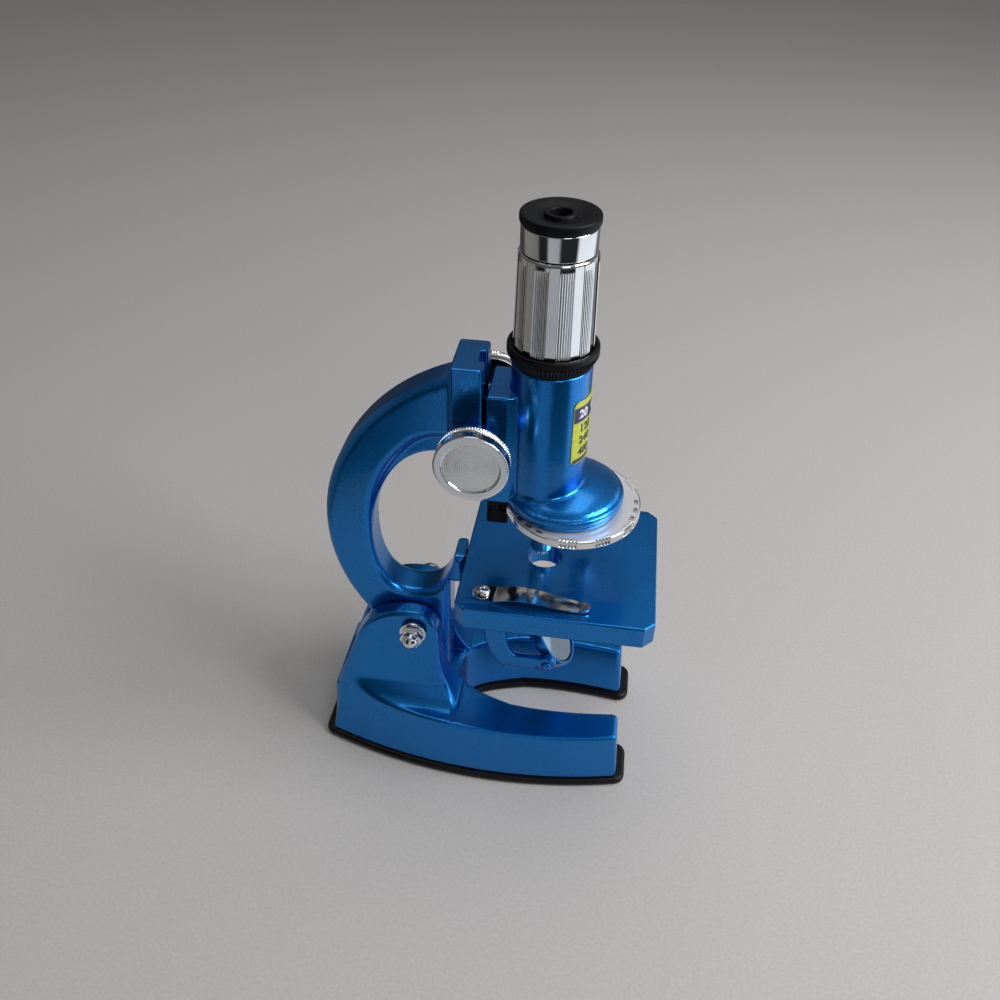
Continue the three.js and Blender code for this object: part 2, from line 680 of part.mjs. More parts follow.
// Knurled chrome knob with a dished, turned face; bored blind for the shaft.
function focusKnob(side) {
  const { radius, outerY, innerY, bossY } = KNOB;
  const profile = [
    [1.5, bossY], [4.6, bossY], [4.6, innerY], [radius - 0.5, innerY], [radius, innerY + 0.5],
    [radius, outerY - 0.5], [radius - 0.5, outerY], [8.8, outerY], [8.2, outerY - 0.8],
    [0, outerY - 0.8], [0, 22.4], [1.5, 22.4], [1.5, bossY],
  ];
  return turnedAcross(profile.map(([r, y]) => [r, side * y]), SHAFT.x, SHAFT.z, 24);
}

// ---------- tube and nosepiece ----------

function carriageOutline() {
  return new THREE.Shape(points([
    [CARRIAGE.back, -CARRIAGE.half], [7, -CARRIAGE.half], [10.5, -8.1],
    [14, 0], [10.5, 8.1], [7, CARRIAGE.half], [CARRIAGE.back, CARRIAGE.half],
  ]));
}

function tubeCasting() {
  const tube = rod(TUBE.outer, FLANGE.low + 1, TUBE.top, TUBE.x, 0, 36);
  const carriage = slabUp(carriageOutline(), CARRIAGE.low, CARRIAGE.high);
  const dome = turned([
    [0, FLANGE.low], [FLANGE.radius, FLANGE.low], [FLANGE.radius, FLANGE.rim],
    [FLANGE.radius - 0.7, FLANGE.rim + 0.6], [16.2, 114.8], [12.8, 116.3], [8, 117.2], [0, 117.4],
  ], FLANGE.x, 0, 36);
  const fillet = turned([
    [0, 112], [13.6, 112], [13.6, 116.6], [12.5, 117.4], [12, 118.6], [0, 118.6],
  ], TUBE.x, 0, 36);
  const guideSlot = join(
    block(0, SLOT.neckEnd + 0.1, -SLOT.neckHalf, SLOT.neckHalf, 105, SLOT.top),
    block(SLOT.neckEnd, SLOT.end, -SLOT.half, SLOT.half, 105, SLOT.top),
  );
  const rackSlot = block(
    0, RACK.backX + FIT, GEAR.yStart - FIT, GEAR.yEnd + FIT, RACK.low - FIT, SLOT.top,
  );
  const rim = rod(FLANGE.radius, FLANGE.low, TUBE.top, FLANGE.x, 0, 36);
  return cut(
    join(tube, carriage, dome, fillet.intersect(rim)),
    rod(TUBE.bore, 119, 160, TUBE.x, 0, 24),
    rod(5, 100, 130, TUBE.x, 0, 16),
    rod(2.3, 100, 114.4, TURRET.x, 0, 12),
    guideSlot,
    rackSlot,
    ...Object.values(RACK_SCREWS).map((z) => rodAlong(0.9, 0, 6.2, RACK_MIDDLE, z, 10)),
  );
}

// Toothed strip on the carriage; a tooth gap faces the pinion at rest.
function rack() {
  const pitch = (2 * Math.PI * GEAR.pitch) / GEAR.teeth;
  const outline = [[RACK.backX, RACK.low], [RACK.rootX, RACK.low]];
  const first = Math.ceil((RACK.low + 4 - SHAFT.z) / pitch);
  const last = Math.floor((RACK.high - 4 - SHAFT.z) / pitch);
  for (let i = first; i < last; i += 1) {
    const z = SHAFT.z + (i + 0.5) * pitch;
    outline.push([RACK.rootX, z - 0.42], [RACK.tipX, z - 0.2]);
    outline.push([RACK.tipX, z + 0.2], [RACK.rootX, z + 0.42]);
  }
  outline.push([RACK.rootX, RACK.high], [RACK.backX, RACK.high]);
  const strip = slabAcross(new THREE.Shape(points(outline)), GEAR.yEnd - GEAR.yStart, RACK_MIDDLE);
  const holes = Object.values(RACK_SCREWS).map((z) => rodAlong(0.9, 0, 4, RACK_MIDDLE, z, 10));
  return cut(strip, ...holes);
}

function rackScrew(z) {
  return rodAlong(0.6, 1.7, 5.8, RACK_MIDDLE, z, 10);
}

function nosepiecePlate() {
  return cut(
    rod(PLATE.radius, PLATE.low, PLATE.high, FLANGE.x, 0, 36),
    rod(4.4, 100, 120, TUBE.x, 0, 14),
    rod(2.3, 100, 120, TURRET.x, 0, 12),
  );
}

// ---------- turret ----------

function turretScrew() {
  const { radius, headLow, headHigh, headRadius } = TURRET_SCREW;
  return turned([
    [0, headLow], [headRadius - 0.6, headLow], [headRadius, headLow + 0.6],
    [headRadius, headHigh], [radius, headHigh], [radius, 114], [0, 114],
  ], TURRET.x, 0, 14);
}

function turretWasher() {
  const ring = [[2.3, 104.5], [4.2, 104.5], [4.2, 105.5], [2.3, 105.5], [2.3, 104.5]];
  return turned(ring, TURRET.x, 0, 14);
}

// The working objective stands under the tube, the others a third of a turn on.
function objectivePlace(step) {
  const angle = Math.PI + (step * 2 * Math.PI) / 3;
  return [TURRET.x + TURRET.pitch * Math.cos(angle), TURRET.pitch * Math.sin(angle)];
}

function turretDisc() {
  const disc = turned([
    [0, TURRET.low], [TURRET.radius - 0.5, TURRET.low], [TURRET.radius, TURRET.low + 0.5],
    [TURRET.radius, TURRET.high - 0.5], [TURRET.radius - 0.5, TURRET.high], [0, TURRET.high],
  ], TURRET.x, 0, 40);
  const ports = [0, 1, 2].map((step) => {
    const [x, y] = objectivePlace(step);
    return rod(OBJECTIVE.neck + FIT, 100, 112, x, y, 14);
  });
  return cut(disc, ...ports, rod(2.3, 100, 112, TURRET.x, 0, 12), ...gripGrooves());
}

// Finger grooves in the rim: three sets of three to every third of the turn.
function gripGrooves() {
  const grooves = [];
  for (let third = 0; third < 3; third += 1) {
    for (let set = 0; set < 3; set += 1) {
      for (let line = 0; line < 3; line += 1) {
        const angle = radians(120 * third + 29 * set + 5 * (line - 1) - 89);
        const x = TURRET.x + (TURRET.radius + 0.25) * Math.cos(angle);
        const y = (TURRET.radius + 0.25) * Math.sin(angle);
        grooves.push(rod(0.75, TURRET.low + 0.7, 112, x, y, 4));
      }
    }
  }
  return grooves;
}

function objective(step, tip) {
  const [x, y] = objectivePlace(step);
  const { radius, neck, bore, top } = OBJECTIVE;
  return turned([
    [bore, tip + 1.6], [bore, 108.3], [neck, 108.3], [neck, top], [radius, top],
    [radius, tip + 2], [radius - 0.9, tip], [2.5, tip], [2.5, tip + 1.6], [bore, tip + 1.6],
  ], x, y, 18);
}

function objectiveLens(step, tip) {
  const [x, y] = objectivePlace(step);
  return turned([
    [0, tip + 0.1], [1.2, tip + 0.25], [2.2, tip + 0.6], [2.2, tip + 1.3], [0, tip + 1.3],
  ], x, y, 12);
}

// ---------- eyepiece ----------

function tubeCollar() {
  const { low, high, radius, seat, seatRadius } = COLLAR;
  return turned([
    [10, low], [radius - 1.4, low], [radius - 0.3, low + 2.4], [radius, low + 2.8],
    [radius, high - 0.8], [radius - 0.7, high], [seatRadius + 0.3, high], [seatRadius, high - 0.3],
    [seatRadius, seat], [10, seat], [10, low],
  ], TUBE.x, 0, 28);
}

function drawSleeve() {
  const { outer, inner, low, high } = SLEEVE;
  return turned([
    [inner, low], [outer, low], [outer, high], [inner, high], [inner, low],
  ], TUBE.x, 0, 24);
}

// Ten panels round the grip: wide ribbed ones alternating with narrow plain ones.
function zoomGrip() {
  const panels = 10;
  const outline = (radius) => {
    const ring = [];
    for (let i = 0; i < panels; i += 1) {
      for (const [offset, inset] of [[-10.5, 0], [0, 0.12], [10.5, 0], [18, 0.55]]) {
        const angle = radians((360 * i) / panels + offset);
        ring.push([
          TUBE.x + (radius - inset) * Math.cos(angle),
          (radius - inset) * Math.sin(angle),
        ]);
      }
    }
    return points(ring);
  };
  const { low, high, lowRadius, highRadius, bore } = GRIP;
  const body = loft([
    [outline(lowRadius - 0.6), low],
    [outline(lowRadius), low + 0.6],
    [outline(highRadius), high - 2],
    [outline(highRadius - 0.4), high],
  ]);
  return cut(body, rod(bore, low - 1, high + 1, TUBE.x, 0, 24));
}

function ocularTube() {
  const { ring, outer, inner, low, ringLow, high } = OCULAR;
  return turned([
    [inner, low], [outer, low], [outer, ringLow], [ring, ringLow], [ring, high - 0.4],
    [ring - 0.4, high], [inner, high], [inner, low],
  ], TUBE.x, 0, 24);
}

function eyecup() {
  const { radius, low, high } = EYECUP;
  return turned([
    [3, low], [radius - 0.5, low], [radius, low + 0.5], [radius, high - 0.6],
    [radius - 0.7, high], [radius - 1.6, high], [6, high - 0.9], [4.6, high - 0.9],
    [4.2, high], [3.4, high], [3, high - 0.5], [3, low],
  ], TUBE.x, 0, 24);
}

// Disc lens bulging by `bulge` on both faces.
function lens(radius, low, high, bulge) {
  return turned([
    [0, low - bulge], [radius / 2, low - 0.75 * bulge], [radius, low],
    [radius, high], [radius / 2, high + 0.75 * bulge], [0, high + bulge],
  ], TUBE.x, 0, 16);
}

// Thin printed plate bent round the front of the tube.
function labelPlate() {
  const inner = TUBE.outer + FIT;
  const outer = inner + 0.3;
  const half = radians(LABEL.halfTurn);
  const shape = new THREE.Shape();
  shape.absarc(TUBE.x, 0, outer, -half, half);
  shape.absarc(TUBE.x, 0, inner, half, -half, true);
  return slabUp(shape, LABEL.low, LABEL.high, 0, 12);
}

// ---------- assembly ----------

const part = new THREE.Group();
part.name = 'toy_microscope';

function put(name, body, material) {
  part.add(named(name, body, material));
}

put('base_casting', baseCasting(), bluePaint);
put('base_pad', basePad(), blackRubber);
PAD_SCREWS.forEach(([x, y], i) => {
  put(`pad_screw_${i + 1}`, screwUp(x, y, 0.3, 11, 1.4), steel);
});
put('pivot_bolt', pivotBolt(), chrome);
put('pivot_nut', pivotNut(), chrome);
put('arm_casting', armCasting(), bluePaint);
put('focus_guide', focusGuide(), blackPlastic);
put('guide_screw_upper', guideScrew(GUIDE_SCREWS.upper), steel);
put('guide_screw_lower', guideScrew(GUIDE_SCREWS.lower), steel);
put('stage', stage(), bluePaint);
put('mirror_fork', mirrorFork(), bluePaint);
put('mirror_housing', mirrorHousing(), bluePaint);
put('mirror_glass', mirrorGlass(), silvered);
put('pinion_shaft', pinionShaft(), steel);
put('tube_casting', tubeCasting(), bluePaint);
put('rack', rack(), brass);
put('rack_screw_upper', rackScrew(RACK_SCREWS.upper), steel);
put('rack_screw_lower', rackScrew(RACK_SCREWS.lower), steel);
put('nosepiece_plate', nosepiecePlate(), bluePaint);
put('turret_screw', turretScrew(), steel);
put('turret_washer', turretWasher(), steel);
put('turret_disc', turretDisc(), chrome);
put('tube_collar', tubeCollar(), blackPlastic);
put('draw_sleeve', drawSleeve(), brass);
put('zoom_grip', zoomGrip(), chrome);
put('ocular_tube', ocularTube(), chrome);
put('eyecup', eyecup(), blackPlastic);
put('eye_lens', lens(OCULAR.inner - FIT, 195, 197.5, 1.2), clearGlass);
put('field_lens', lens(OCULAR.inner - FIT, 163, 164.6, 0.9), clearGlass);
put('label_plate', labelPlate(), printedLabel);

['near', 'far'].forEach((where) => {
  const side = where === 'near' ? -1 : 1;
  put(`pivot_washer_${where}`, washer(side), chrome);
  put(`shaft_bush_${where}`, shaftBush(side), brass);
  put(`stage_screw_${where}`, stageScrew(side), steel);
  put(`clip_${where}`, clip(side), chrome);
  put(`clip_screw_${where}`, clipScrew(side), chrome);
  put(`fork_screw_${where}`, screwUp(FORK_SCREW.x, side * FORK_SCREW.y, 75.6, 82.1, 77.4), steel);
  put(`mirror_pin_${where}`, mirrorPin(side), bluePaint);
  put(`focus_knob_${where}`, focusKnob(side), chrome);
});

['high', 'low', 'mid'].forEach((power, step) => {
  put(`objective_${power}`, objective(step, OBJECTIVE_TIP[power]), chrome);
  put(`objective_lens_${power}`, objectiveLens(step, OBJECTIVE_TIP[power]), clearGlass);
});

export default part;
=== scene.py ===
"""Looks of a toy zoom microscope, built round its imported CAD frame.

Shapes are worked out in millimetres, in the CAD's own axes, and written to Blender in metres.
Castings are skins over distance fields, so that their edges and inner corners are truly round.
Round pieces are turned from profiles, and every material is a node network.
"""
import json
import math

import bmesh
import bpy
import numpy as np
from mathutils import Matrix, Vector


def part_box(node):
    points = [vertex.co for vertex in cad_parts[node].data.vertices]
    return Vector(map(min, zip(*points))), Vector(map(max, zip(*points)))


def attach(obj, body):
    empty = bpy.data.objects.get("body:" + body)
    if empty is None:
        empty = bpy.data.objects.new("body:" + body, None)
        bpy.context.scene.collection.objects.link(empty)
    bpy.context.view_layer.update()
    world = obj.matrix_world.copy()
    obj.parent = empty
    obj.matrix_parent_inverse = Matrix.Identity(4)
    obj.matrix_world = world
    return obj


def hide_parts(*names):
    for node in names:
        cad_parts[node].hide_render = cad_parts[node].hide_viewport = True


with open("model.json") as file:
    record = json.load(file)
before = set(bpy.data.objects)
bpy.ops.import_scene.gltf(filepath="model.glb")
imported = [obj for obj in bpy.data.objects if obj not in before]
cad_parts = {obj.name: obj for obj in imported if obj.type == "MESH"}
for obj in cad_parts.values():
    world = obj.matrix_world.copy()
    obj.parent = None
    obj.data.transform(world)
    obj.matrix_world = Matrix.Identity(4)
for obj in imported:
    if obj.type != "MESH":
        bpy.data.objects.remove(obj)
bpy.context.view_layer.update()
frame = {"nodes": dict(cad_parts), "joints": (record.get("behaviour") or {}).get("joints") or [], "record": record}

MM = 0.001
TAU = 2 * math.pi

# ---------- driving dimensions, in millimetres ----------


def spans(node):
    """The node's CAD box in millimetres, as ((x0, x1), (y0, y1), (z0, z1))."""
    low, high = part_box(node)
    return tuple((a / MM, b / MM) for a, b in zip(low, high))


BASE = spans("base_casting")
PAD = spans("base_pad")
STAGE = spans("stage")
DISC = spans("turret_disc")
GUIDE = spans("focus_guide")
KNOB = spans("focus_knob_near")
FORK = spans("mirror_fork")
RACK = spans("rack")

JOINTS = {joint["name"]: joint for joint in frame["joints"]}


def joint_at(name):
    """Where a hinge sits, in millimetres."""
    return tuple(value / MM for value in JOINTS[name]["pos_m"])


PIVOT_X, _, PIVOT_Z = joint_at("arm_tilt")
SHAFT_X, _, SHAFT_Z = joint_at("knob_turn")
TUBE_X = joint_at("zoom_twist")[0]
TURRET_X = joint_at("turret_turn")[0]
MIRROR_X, _, MIRROR_Z = joint_at("mirror_tilt")
CLIP_X, CLIP_Y, _ = joint_at("clip_far_swing")

FOOT_LOW, FOOT_HIGH = 3.4, 24.1
# The foot's sides are arcs: widest half-width, radius, and where they are widest.
LOW_SIDE, HIGH_SIDE = (32.2, 190, 9), (31.1, 163, 13.5)
LEG_MOUTH, LEG_GAP_BACK = 13, -8
EAR_BASE, EAR_TOP, EAR_SLOT = 18, 13.5, 7.3
EAR_FLARE = 8.5
ARM_X, ARM_Z, ARM_OUTER, ARM_INNER, ARM_HALF = 11.2, 91.9, 65, 49.3, 6.8
HEAD_BACK, HEAD_FRONT, HEAD_HALF = -10, -0.4, 9.4
HEAD_LOW, HEAD_HIGH = 118, 158.4
NOTCH_HALF, PIVOT_BORE, BUSH_BORE = 3, 3, 2.4
GEAR_ROOM = 2.9  # the pinion's tip and its play
TUBE_RADIUS, TUBE_BORE, TUBE_TOP = 12, 10, 158.9
CARRIAGE_BACK, CARRIAGE_HALF, CARRIAGE_LOW, CARRIAGE_HIGH = 1, 9.4, 111.5, 150
FLANGE_X, FLANGE_RADIUS, FLANGE_LOW = 25.4, 18.8, 111
STAGE_SKIN, STAGE_WALL, STAGE_CHAMFER = 3.2, 2.2, 3.4
GUIDE_SLOT_TOP = 148
LIGHT_PATH = 5  # radius of the way through the nosepiece
LIGHT_HOLE = (20.2, 5.6)
MIRROR_TILT, MIRROR_RADIUS = 54, 12.4
OBJECTIVE_PITCH, OBJECTIVE_RADIUS = 9.13, 3.95

# ---------- distance fields ----------


def distance_to(outline, u, v):
    """Signed distance from (u, v) to a closed outline, negative inside."""
    nearest = np.inf
    inside = False
    for (au, av), (bu, bv) in zip(outline, np.roll(outline, -1, axis=0)):
        eu, ev = bu - au, bv - av
        along = np.clip(((u - au) * eu + (v - av) * ev) / (eu * eu + ev * ev), 0, 1)
        gap = (u - au - along * eu) ** 2 + (v - av - along * ev) ** 2
        nearest = np.minimum(nearest, gap)
        if av != bv:
            crosses = ((av > v) != (bv > v)) & (u < au + (v - av) * eu / ev)
            inside = inside ^ crosses
    return np.where(inside, -1, 1) * np.sqrt(nearest)


def meet(a, b, radius=0.5):
    """What two fields share, with its edge rounded."""
    corner = np.hypot(np.maximum(radius + a, 0), np.maximum(radius + b, 0))
    return np.minimum(-radius, np.maximum(a, b)) + corner


def join(a, b, radius=0.5):
    """Two fields together, with a round fillet between them."""
    corner = np.hypot(np.maximum(radius - a, 0), np.maximum(radius - b, 0))
    return np.maximum(radius, np.minimum(a, b)) - corner


def cut(a, b, radius=0.3):
    """The first field without the second, with the mouth of the cut rounded."""
    return meet(a, -b, radius)


def between(value, low, high):
    """Distance outside the slab low..high."""
    return np.abs(value - (low + high) / 2) - (high - low) / 2


def box_field(x, y, z, spans_mm, radius=0.4):
    (x0, x1), (y0, y1), (z0, z1) = spans_mm
    plan = meet(between(x, x0, x1), between(y, y0, y1), radius)
    return meet(plan, between(z, z0, z1), radius)


def rod_field(u, v, w, centre, radius, low, high, edge=0.3):
    """A round bar along w, through centre = (u, v)."""
    return meet(np.hypot(u - centre[0], v - centre[1]) - radius, between(w, low, high), edge)


# ---------- outlines ----------


def arc(cx, cy, radius, start, end, step=1.5):
    """Points along an arc, angles in degrees."""
    count = max(2, int(abs(end - start) / step) + 1)
    angles = np.radians(np.linspace(start, end, count))
    return [(cx + radius * math.cos(a), cy + radius * math.sin(a)) for a in angles]


def bezier(*control, count=20):
    """Points along a Bezier curve of any order."""
    points = []
    for t in np.linspace(0, 1, count):
        row = [np.array(p, float) for p in control]
        while len(row) > 1:
            row = [(1 - t) * a + t * b for a, b in zip(row, row[1:])]
        points.append(tuple(row[0]))
    return points


def mirrored(points):
    """The outline's points followed by their mirror image in y = 0."""
    return points + [(x, -y) for x, y in reversed(points)]


def cleaned(points):
    """Drops points that repeat their neighbour."""
    kept = [points[0]]
    for point in points[1:]:
        if math.dist(point, kept[-1]) > 1e-4:
            kept.append(point)
    if math.dist(kept[0], kept[-1]) < 1e-4:
        kept.pop()
    return np.array(kept)


def horseshoe(side, grow=0.0, opened=0.0, rake=0.0, inset=0.0):
    """The foot's plan: `grow` widens it, `opened` widens the gap between the legs.

    `inset` draws every side in by that much, for a field that grows it back with round corners.
    """
    half, radius, side_x = side
    half += grow / 2 - inset
    radius -= inset
    front = BASE[0][1] + grow - rake - inset
    rear = BASE[0][0] - grow + rake / 2 + inset
    mouth = LEG_MOUTH + opened - 0.65 * grow + inset
    back = LEG_GAP_BACK - opened / 2 + 0.5 * grow - inset

    def on_side(x):
        return -math.degrees(math.acos((x - side_x) / radius))

    outer = arc(side_x, radius - half, radius, on_side(rear), on_side(front), 0.8)
    inner = bezier((front, -mouth), (front - 22, -mouth - 3), (front - 38, -mouth - 1))
    throat = bezier(
        (front - 38, -mouth - 1), (back + 13, -mouth + 2), (back, -mouth + 5), (back, 0),
    )
    return cleaned(mirrored(outer + inner + throat))


def ear_outline():
    return cleaned(
        [(-54.6, 12), (-54.2, 20)]
        + bezier((-44.3, 48.3), (-39.5, 61.5), (-25, 61.5))
        + bezier((-25, 61.5), (-14.8, 61.5), (-14.6, 50))
        + bezier((-14.2, 42), (-13.2, 31), (-6.5, 23.6))
        + [(-6.5, 12)]
    )


def arm_outline():
    """Side view of the C-shaped arm with its foot, post and stage horn."""
    top = math.degrees(math.atan2(60, HEAD_BACK + 2 - ARM_X))
    return cleaned(
        arc(ARM_X, ARM_Z, ARM_OUTER, top, 215.8, 0.8)
        + arc(PIVOT_X, PIVOT_Z, 18.4, 182, 262)
        + [(-25.5, 25), (-12.6, 25), (-11.6, 71.5), (-6.6, 71.5), (-6.6, 83), (-10.2, 83)]
        + bezier((-10.2, 83), (-12.2, 71.5), (-16, 65.3), (-25.5, 65.3))
        + bezier((-25.5, 65.3), (-34.5, 65.3), (-38.2, 76), (-38.2, 89))
        + arc(ARM_X, 93, ARM_INNER, 182, 135, 0.9)
        + bezier((-23.6, 127.9), (-19, 132), (-13, 132))
        + [(HEAD_BACK + 2, 132)]
    )


def rib_outline():
    """The thin web that hangs under the arm's top and runs down its inner wall."""
    return cleaned(
        bezier((-39, 92), (-36, 107), (-29.5, 124.8), (-14, 124.8))
        + [(HEAD_BACK + 2, 124.8), (HEAD_BACK + 2, 135), (-28, 135), (-41, 104)]
    )


def stage_plan(inset=0.0):
    (x0, x1), (_, half), _ = STAGE
    c = STAGE_CHAMFER
    corners = [(x0 + inset, half - inset - c), (x0 + inset + c, half - inset)]
    corners += [(x1 - inset - c, half - inset), (x1 - inset, half - inset - c)]
    return cleaned(mirrored(corners))


def fork_outline():
    """Side view of one fork arm, from the stage down to the mirror's pivot."""
    (back, _), _, (_, top) = FORK
    eye = 2.8
    return cleaned(
        [(back, top)]
        + bezier((back + 0.5, 66), (back + 1, 48), (9, MIRROR_Z - eye))
        + arc(MIRROR_X, MIRROR_Z, eye, -90, 90, 10)
        + bezier((13, MIRROR_Z + eye), (9.5, 52), (9, 66))
        + [(9, top)]
    )


# ---------- mesh making ----------


def new_object(name, mesh, body, material, nodes):
    """Links a finished mesh as a piece that rides on a body and stands for CAD nodes."""
    piece = bpy.data.objects.new(name, mesh)
    bpy.context.scene.collection.objects.link(piece)
    piece.data.materials.append(material)
    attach(piece, body)
    if nodes:
        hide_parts(*nodes)
    return piece


def mesh_from(name, points_mm, faces):
    mesh = bpy.data.meshes.new(name)
    mesh.from_pydata((np.asarray(points_mm) * MM).tolist(), [], faces)
    mesh.validate()
    mesh.shade_smooth()
    return mesh


def slope(field, points, reach=0.02):
    """The field's value and its unit gradient at each point."""
    x, y, z = points.T
    value = field(x, y, z)
    grad = np.stack([
        field(x + reach, y, z) - field(x - reach, y, z),
        field(x, y + reach, z) - field(x, y - reach, z),
        field(x, y, z + reach) - field(x, y, z - reach),
    ], axis=1) / (2 * reach)
    size = np.maximum(np.linalg.norm(grad, axis=1, keepdims=True), 1e-6)
    return value[:, None], grad / size, size


def skin(name, field, box_mm, step):
    """A quad mesh over the field's zero surface, every point settled exactly on it."""
    axes = [np.arange(a - 1.7 * step, b + 2 * step, step) for a, b in box_mm]
    grid = np.meshgrid(*axes, indexing="ij", sparse=True)
    shape = tuple(len(a) for a in axes)
    solid = np.broadcast_to(field(*grid), shape) < 0
    corners = sum(
        solid[i:shape[0] - 1 + i, j:shape[1] - 1 + j, k:shape[2] - 1 + k].astype(np.int8)
        for i in (0, 1) for j in (0, 1) for k in (0, 1)
    )
    crossed = (corners > 0) & (corners < 8)
    number = np.full(crossed.shape, -1)
    number[crossed] = np.arange(crossed.sum())
    cells = np.argwhere(crossed)
    points = np.stack([axes[i][0] + (cells[:, i] + 0.5) * step for i in range(3)], axis=1)

    quads = []
    for axis in range(3):
        u, v = (axis + 1) % 3, (axis + 2) % 3
        here = [slice(None)] * 3
        there = [slice(None)] * 3
        here[axis] = slice(0, -1)
        there[axis] = slice(1, None)
        changed = np.argwhere(solid[tuple(here)] != solid[tuple(there)])
        outward = solid[tuple(changed.T)]
        around = []
        for du, dv in ((1, 1), (0, 1), (0, 0), (1, 0)):
            cell = changed.copy()
            cell[:, u] -= du
            cell[:, v] -= dv
            around.append(number[tuple(cell.T)])
        quad = np.stack(around, axis=1)
        quad[~outward] = quad[~outward][:, ::-1]
        quads.append(quad)
    quads = np.concatenate(quads)

    starts, ends = quads.ravel(), np.roll(quads, -1, axis=1).ravel()
    links = np.bincount(starts, minlength=len(points)) + np.bincount(ends, minlength=len(points))
    for sweep in range(6):
        total = np.zeros_like(points)
        np.add.at(total, starts, points[ends])
        np.add.at(total, ends, points[starts])
        if sweep < 4:
            points = 0.5 * points + 0.5 * total / np.maximum(links, 1)[:, None]
        value, direction, size = slope(field, points)
        points = points - np.clip(value / size, -step, step) * direction
    mesh = mesh_from(name, points, quads.tolist())
    _, direction, _ = slope(field, points)
    mesh.normals_split_custom_set_from_vertices(direction.tolist())
    return mesh


def rounded(profile, radius=0.3, count=4):
    """A closed profile with each corner rounded as far as its sides allow."""
    points = [np.array(p, float) for p in profile]
    result = []
    for i, here in enumerate(points):
        before, after = points[i - 1] - here, points[(i + 1) % len(points)] - here
        if np.hypot(*before) < 1e-6 or np.hypot(*after) < 1e-6 or here[0] <= 1e-6:
            result.append(tuple(here))
            continue
        reach = min(radius, 0.45 * np.hypot(*before), 0.45 * np.hypot(*after))
        start = here + before / np.hypot(*before) * reach
        end = here + after / np.hypot(*after) * reach
        result += bezier(start, here, end, count=count)
    return result


def weld(mesh, distance, degenerate=0.0):
    """Joins points that coincide and turns every face outward."""
    work = bmesh.new()
    work.from_mesh(mesh)
    bmesh.ops.remove_doubles(work, verts=work.verts, dist=distance)
    if degenerate:
        bmesh.ops.dissolve_degenerate(work, edges=work.edges, dist=degenerate)
    bmesh.ops.recalc_face_normals(work, faces=work.faces)
    work.to_mesh(mesh)
    work.free()


def turned_mesh(name, profile, place, segments=96, wave=None):
    """Turns a closed (radius, height) profile round its axis; wave(angle, r, h) moves r.

    `place` takes the turned piece, standing on +Z, to where it belongs.
    """
    profile = np.array(profile, float)
    angles = np.arange(segments) * TAU / segments
    radius, angle = np.meshgrid(profile[:, 0], angles, indexing="ij")
    height = np.broadcast_to(profile[:, 1:2], radius.shape)
    if wave:
        radius = wave(angle, radius, height)
    points = np.stack([radius * np.cos(angle), radius * np.sin(angle), height], axis=-1)
    rows = len(profile)
    index = np.arange(rows * segments).reshape(rows, segments)
    faces = []
    for i in range(rows):
        a, b = index[i], index[(i + 1) % rows]
        on_axis = profile[i][0] < 1e-6 and profile[(i + 1) % rows][0] < 1e-6
        if not on_axis:
            quad = np.stack([a, np.roll(a, -1), np.roll(b, -1), b], axis=1)
            faces += quad.tolist()
    flat = points.reshape(-1, 3)
    mesh = mesh_from(name, flat, faces)
    weld(mesh, 1e-7, degenerate=1e-8)
    mesh.transform(place)
    mesh.shade_smooth()
    mesh.set_sharp_from_angle(angle=math.radians(38))
    return mesh


def standing(x, y, z=0.0):
    return Matrix.Translation((x * MM, y * MM, z * MM))


def lying(x, z, side):
    """Turns +Z to point to the near (-1) or far (+1) side."""
    quarter = Matrix.Rotation(-side * TAU / 4, 4, "X")
    return Matrix.Translation((x * MM, 0, z * MM)) @ quarter


def on_mirror():
    tilt = Matrix.Rotation(math.radians(MIRROR_TILT), 4, "Y")
    return Matrix.Translation((MIRROR_X * MM, 0, MIRROR_Z * MM)) @ tilt


# ---------- materials ----------


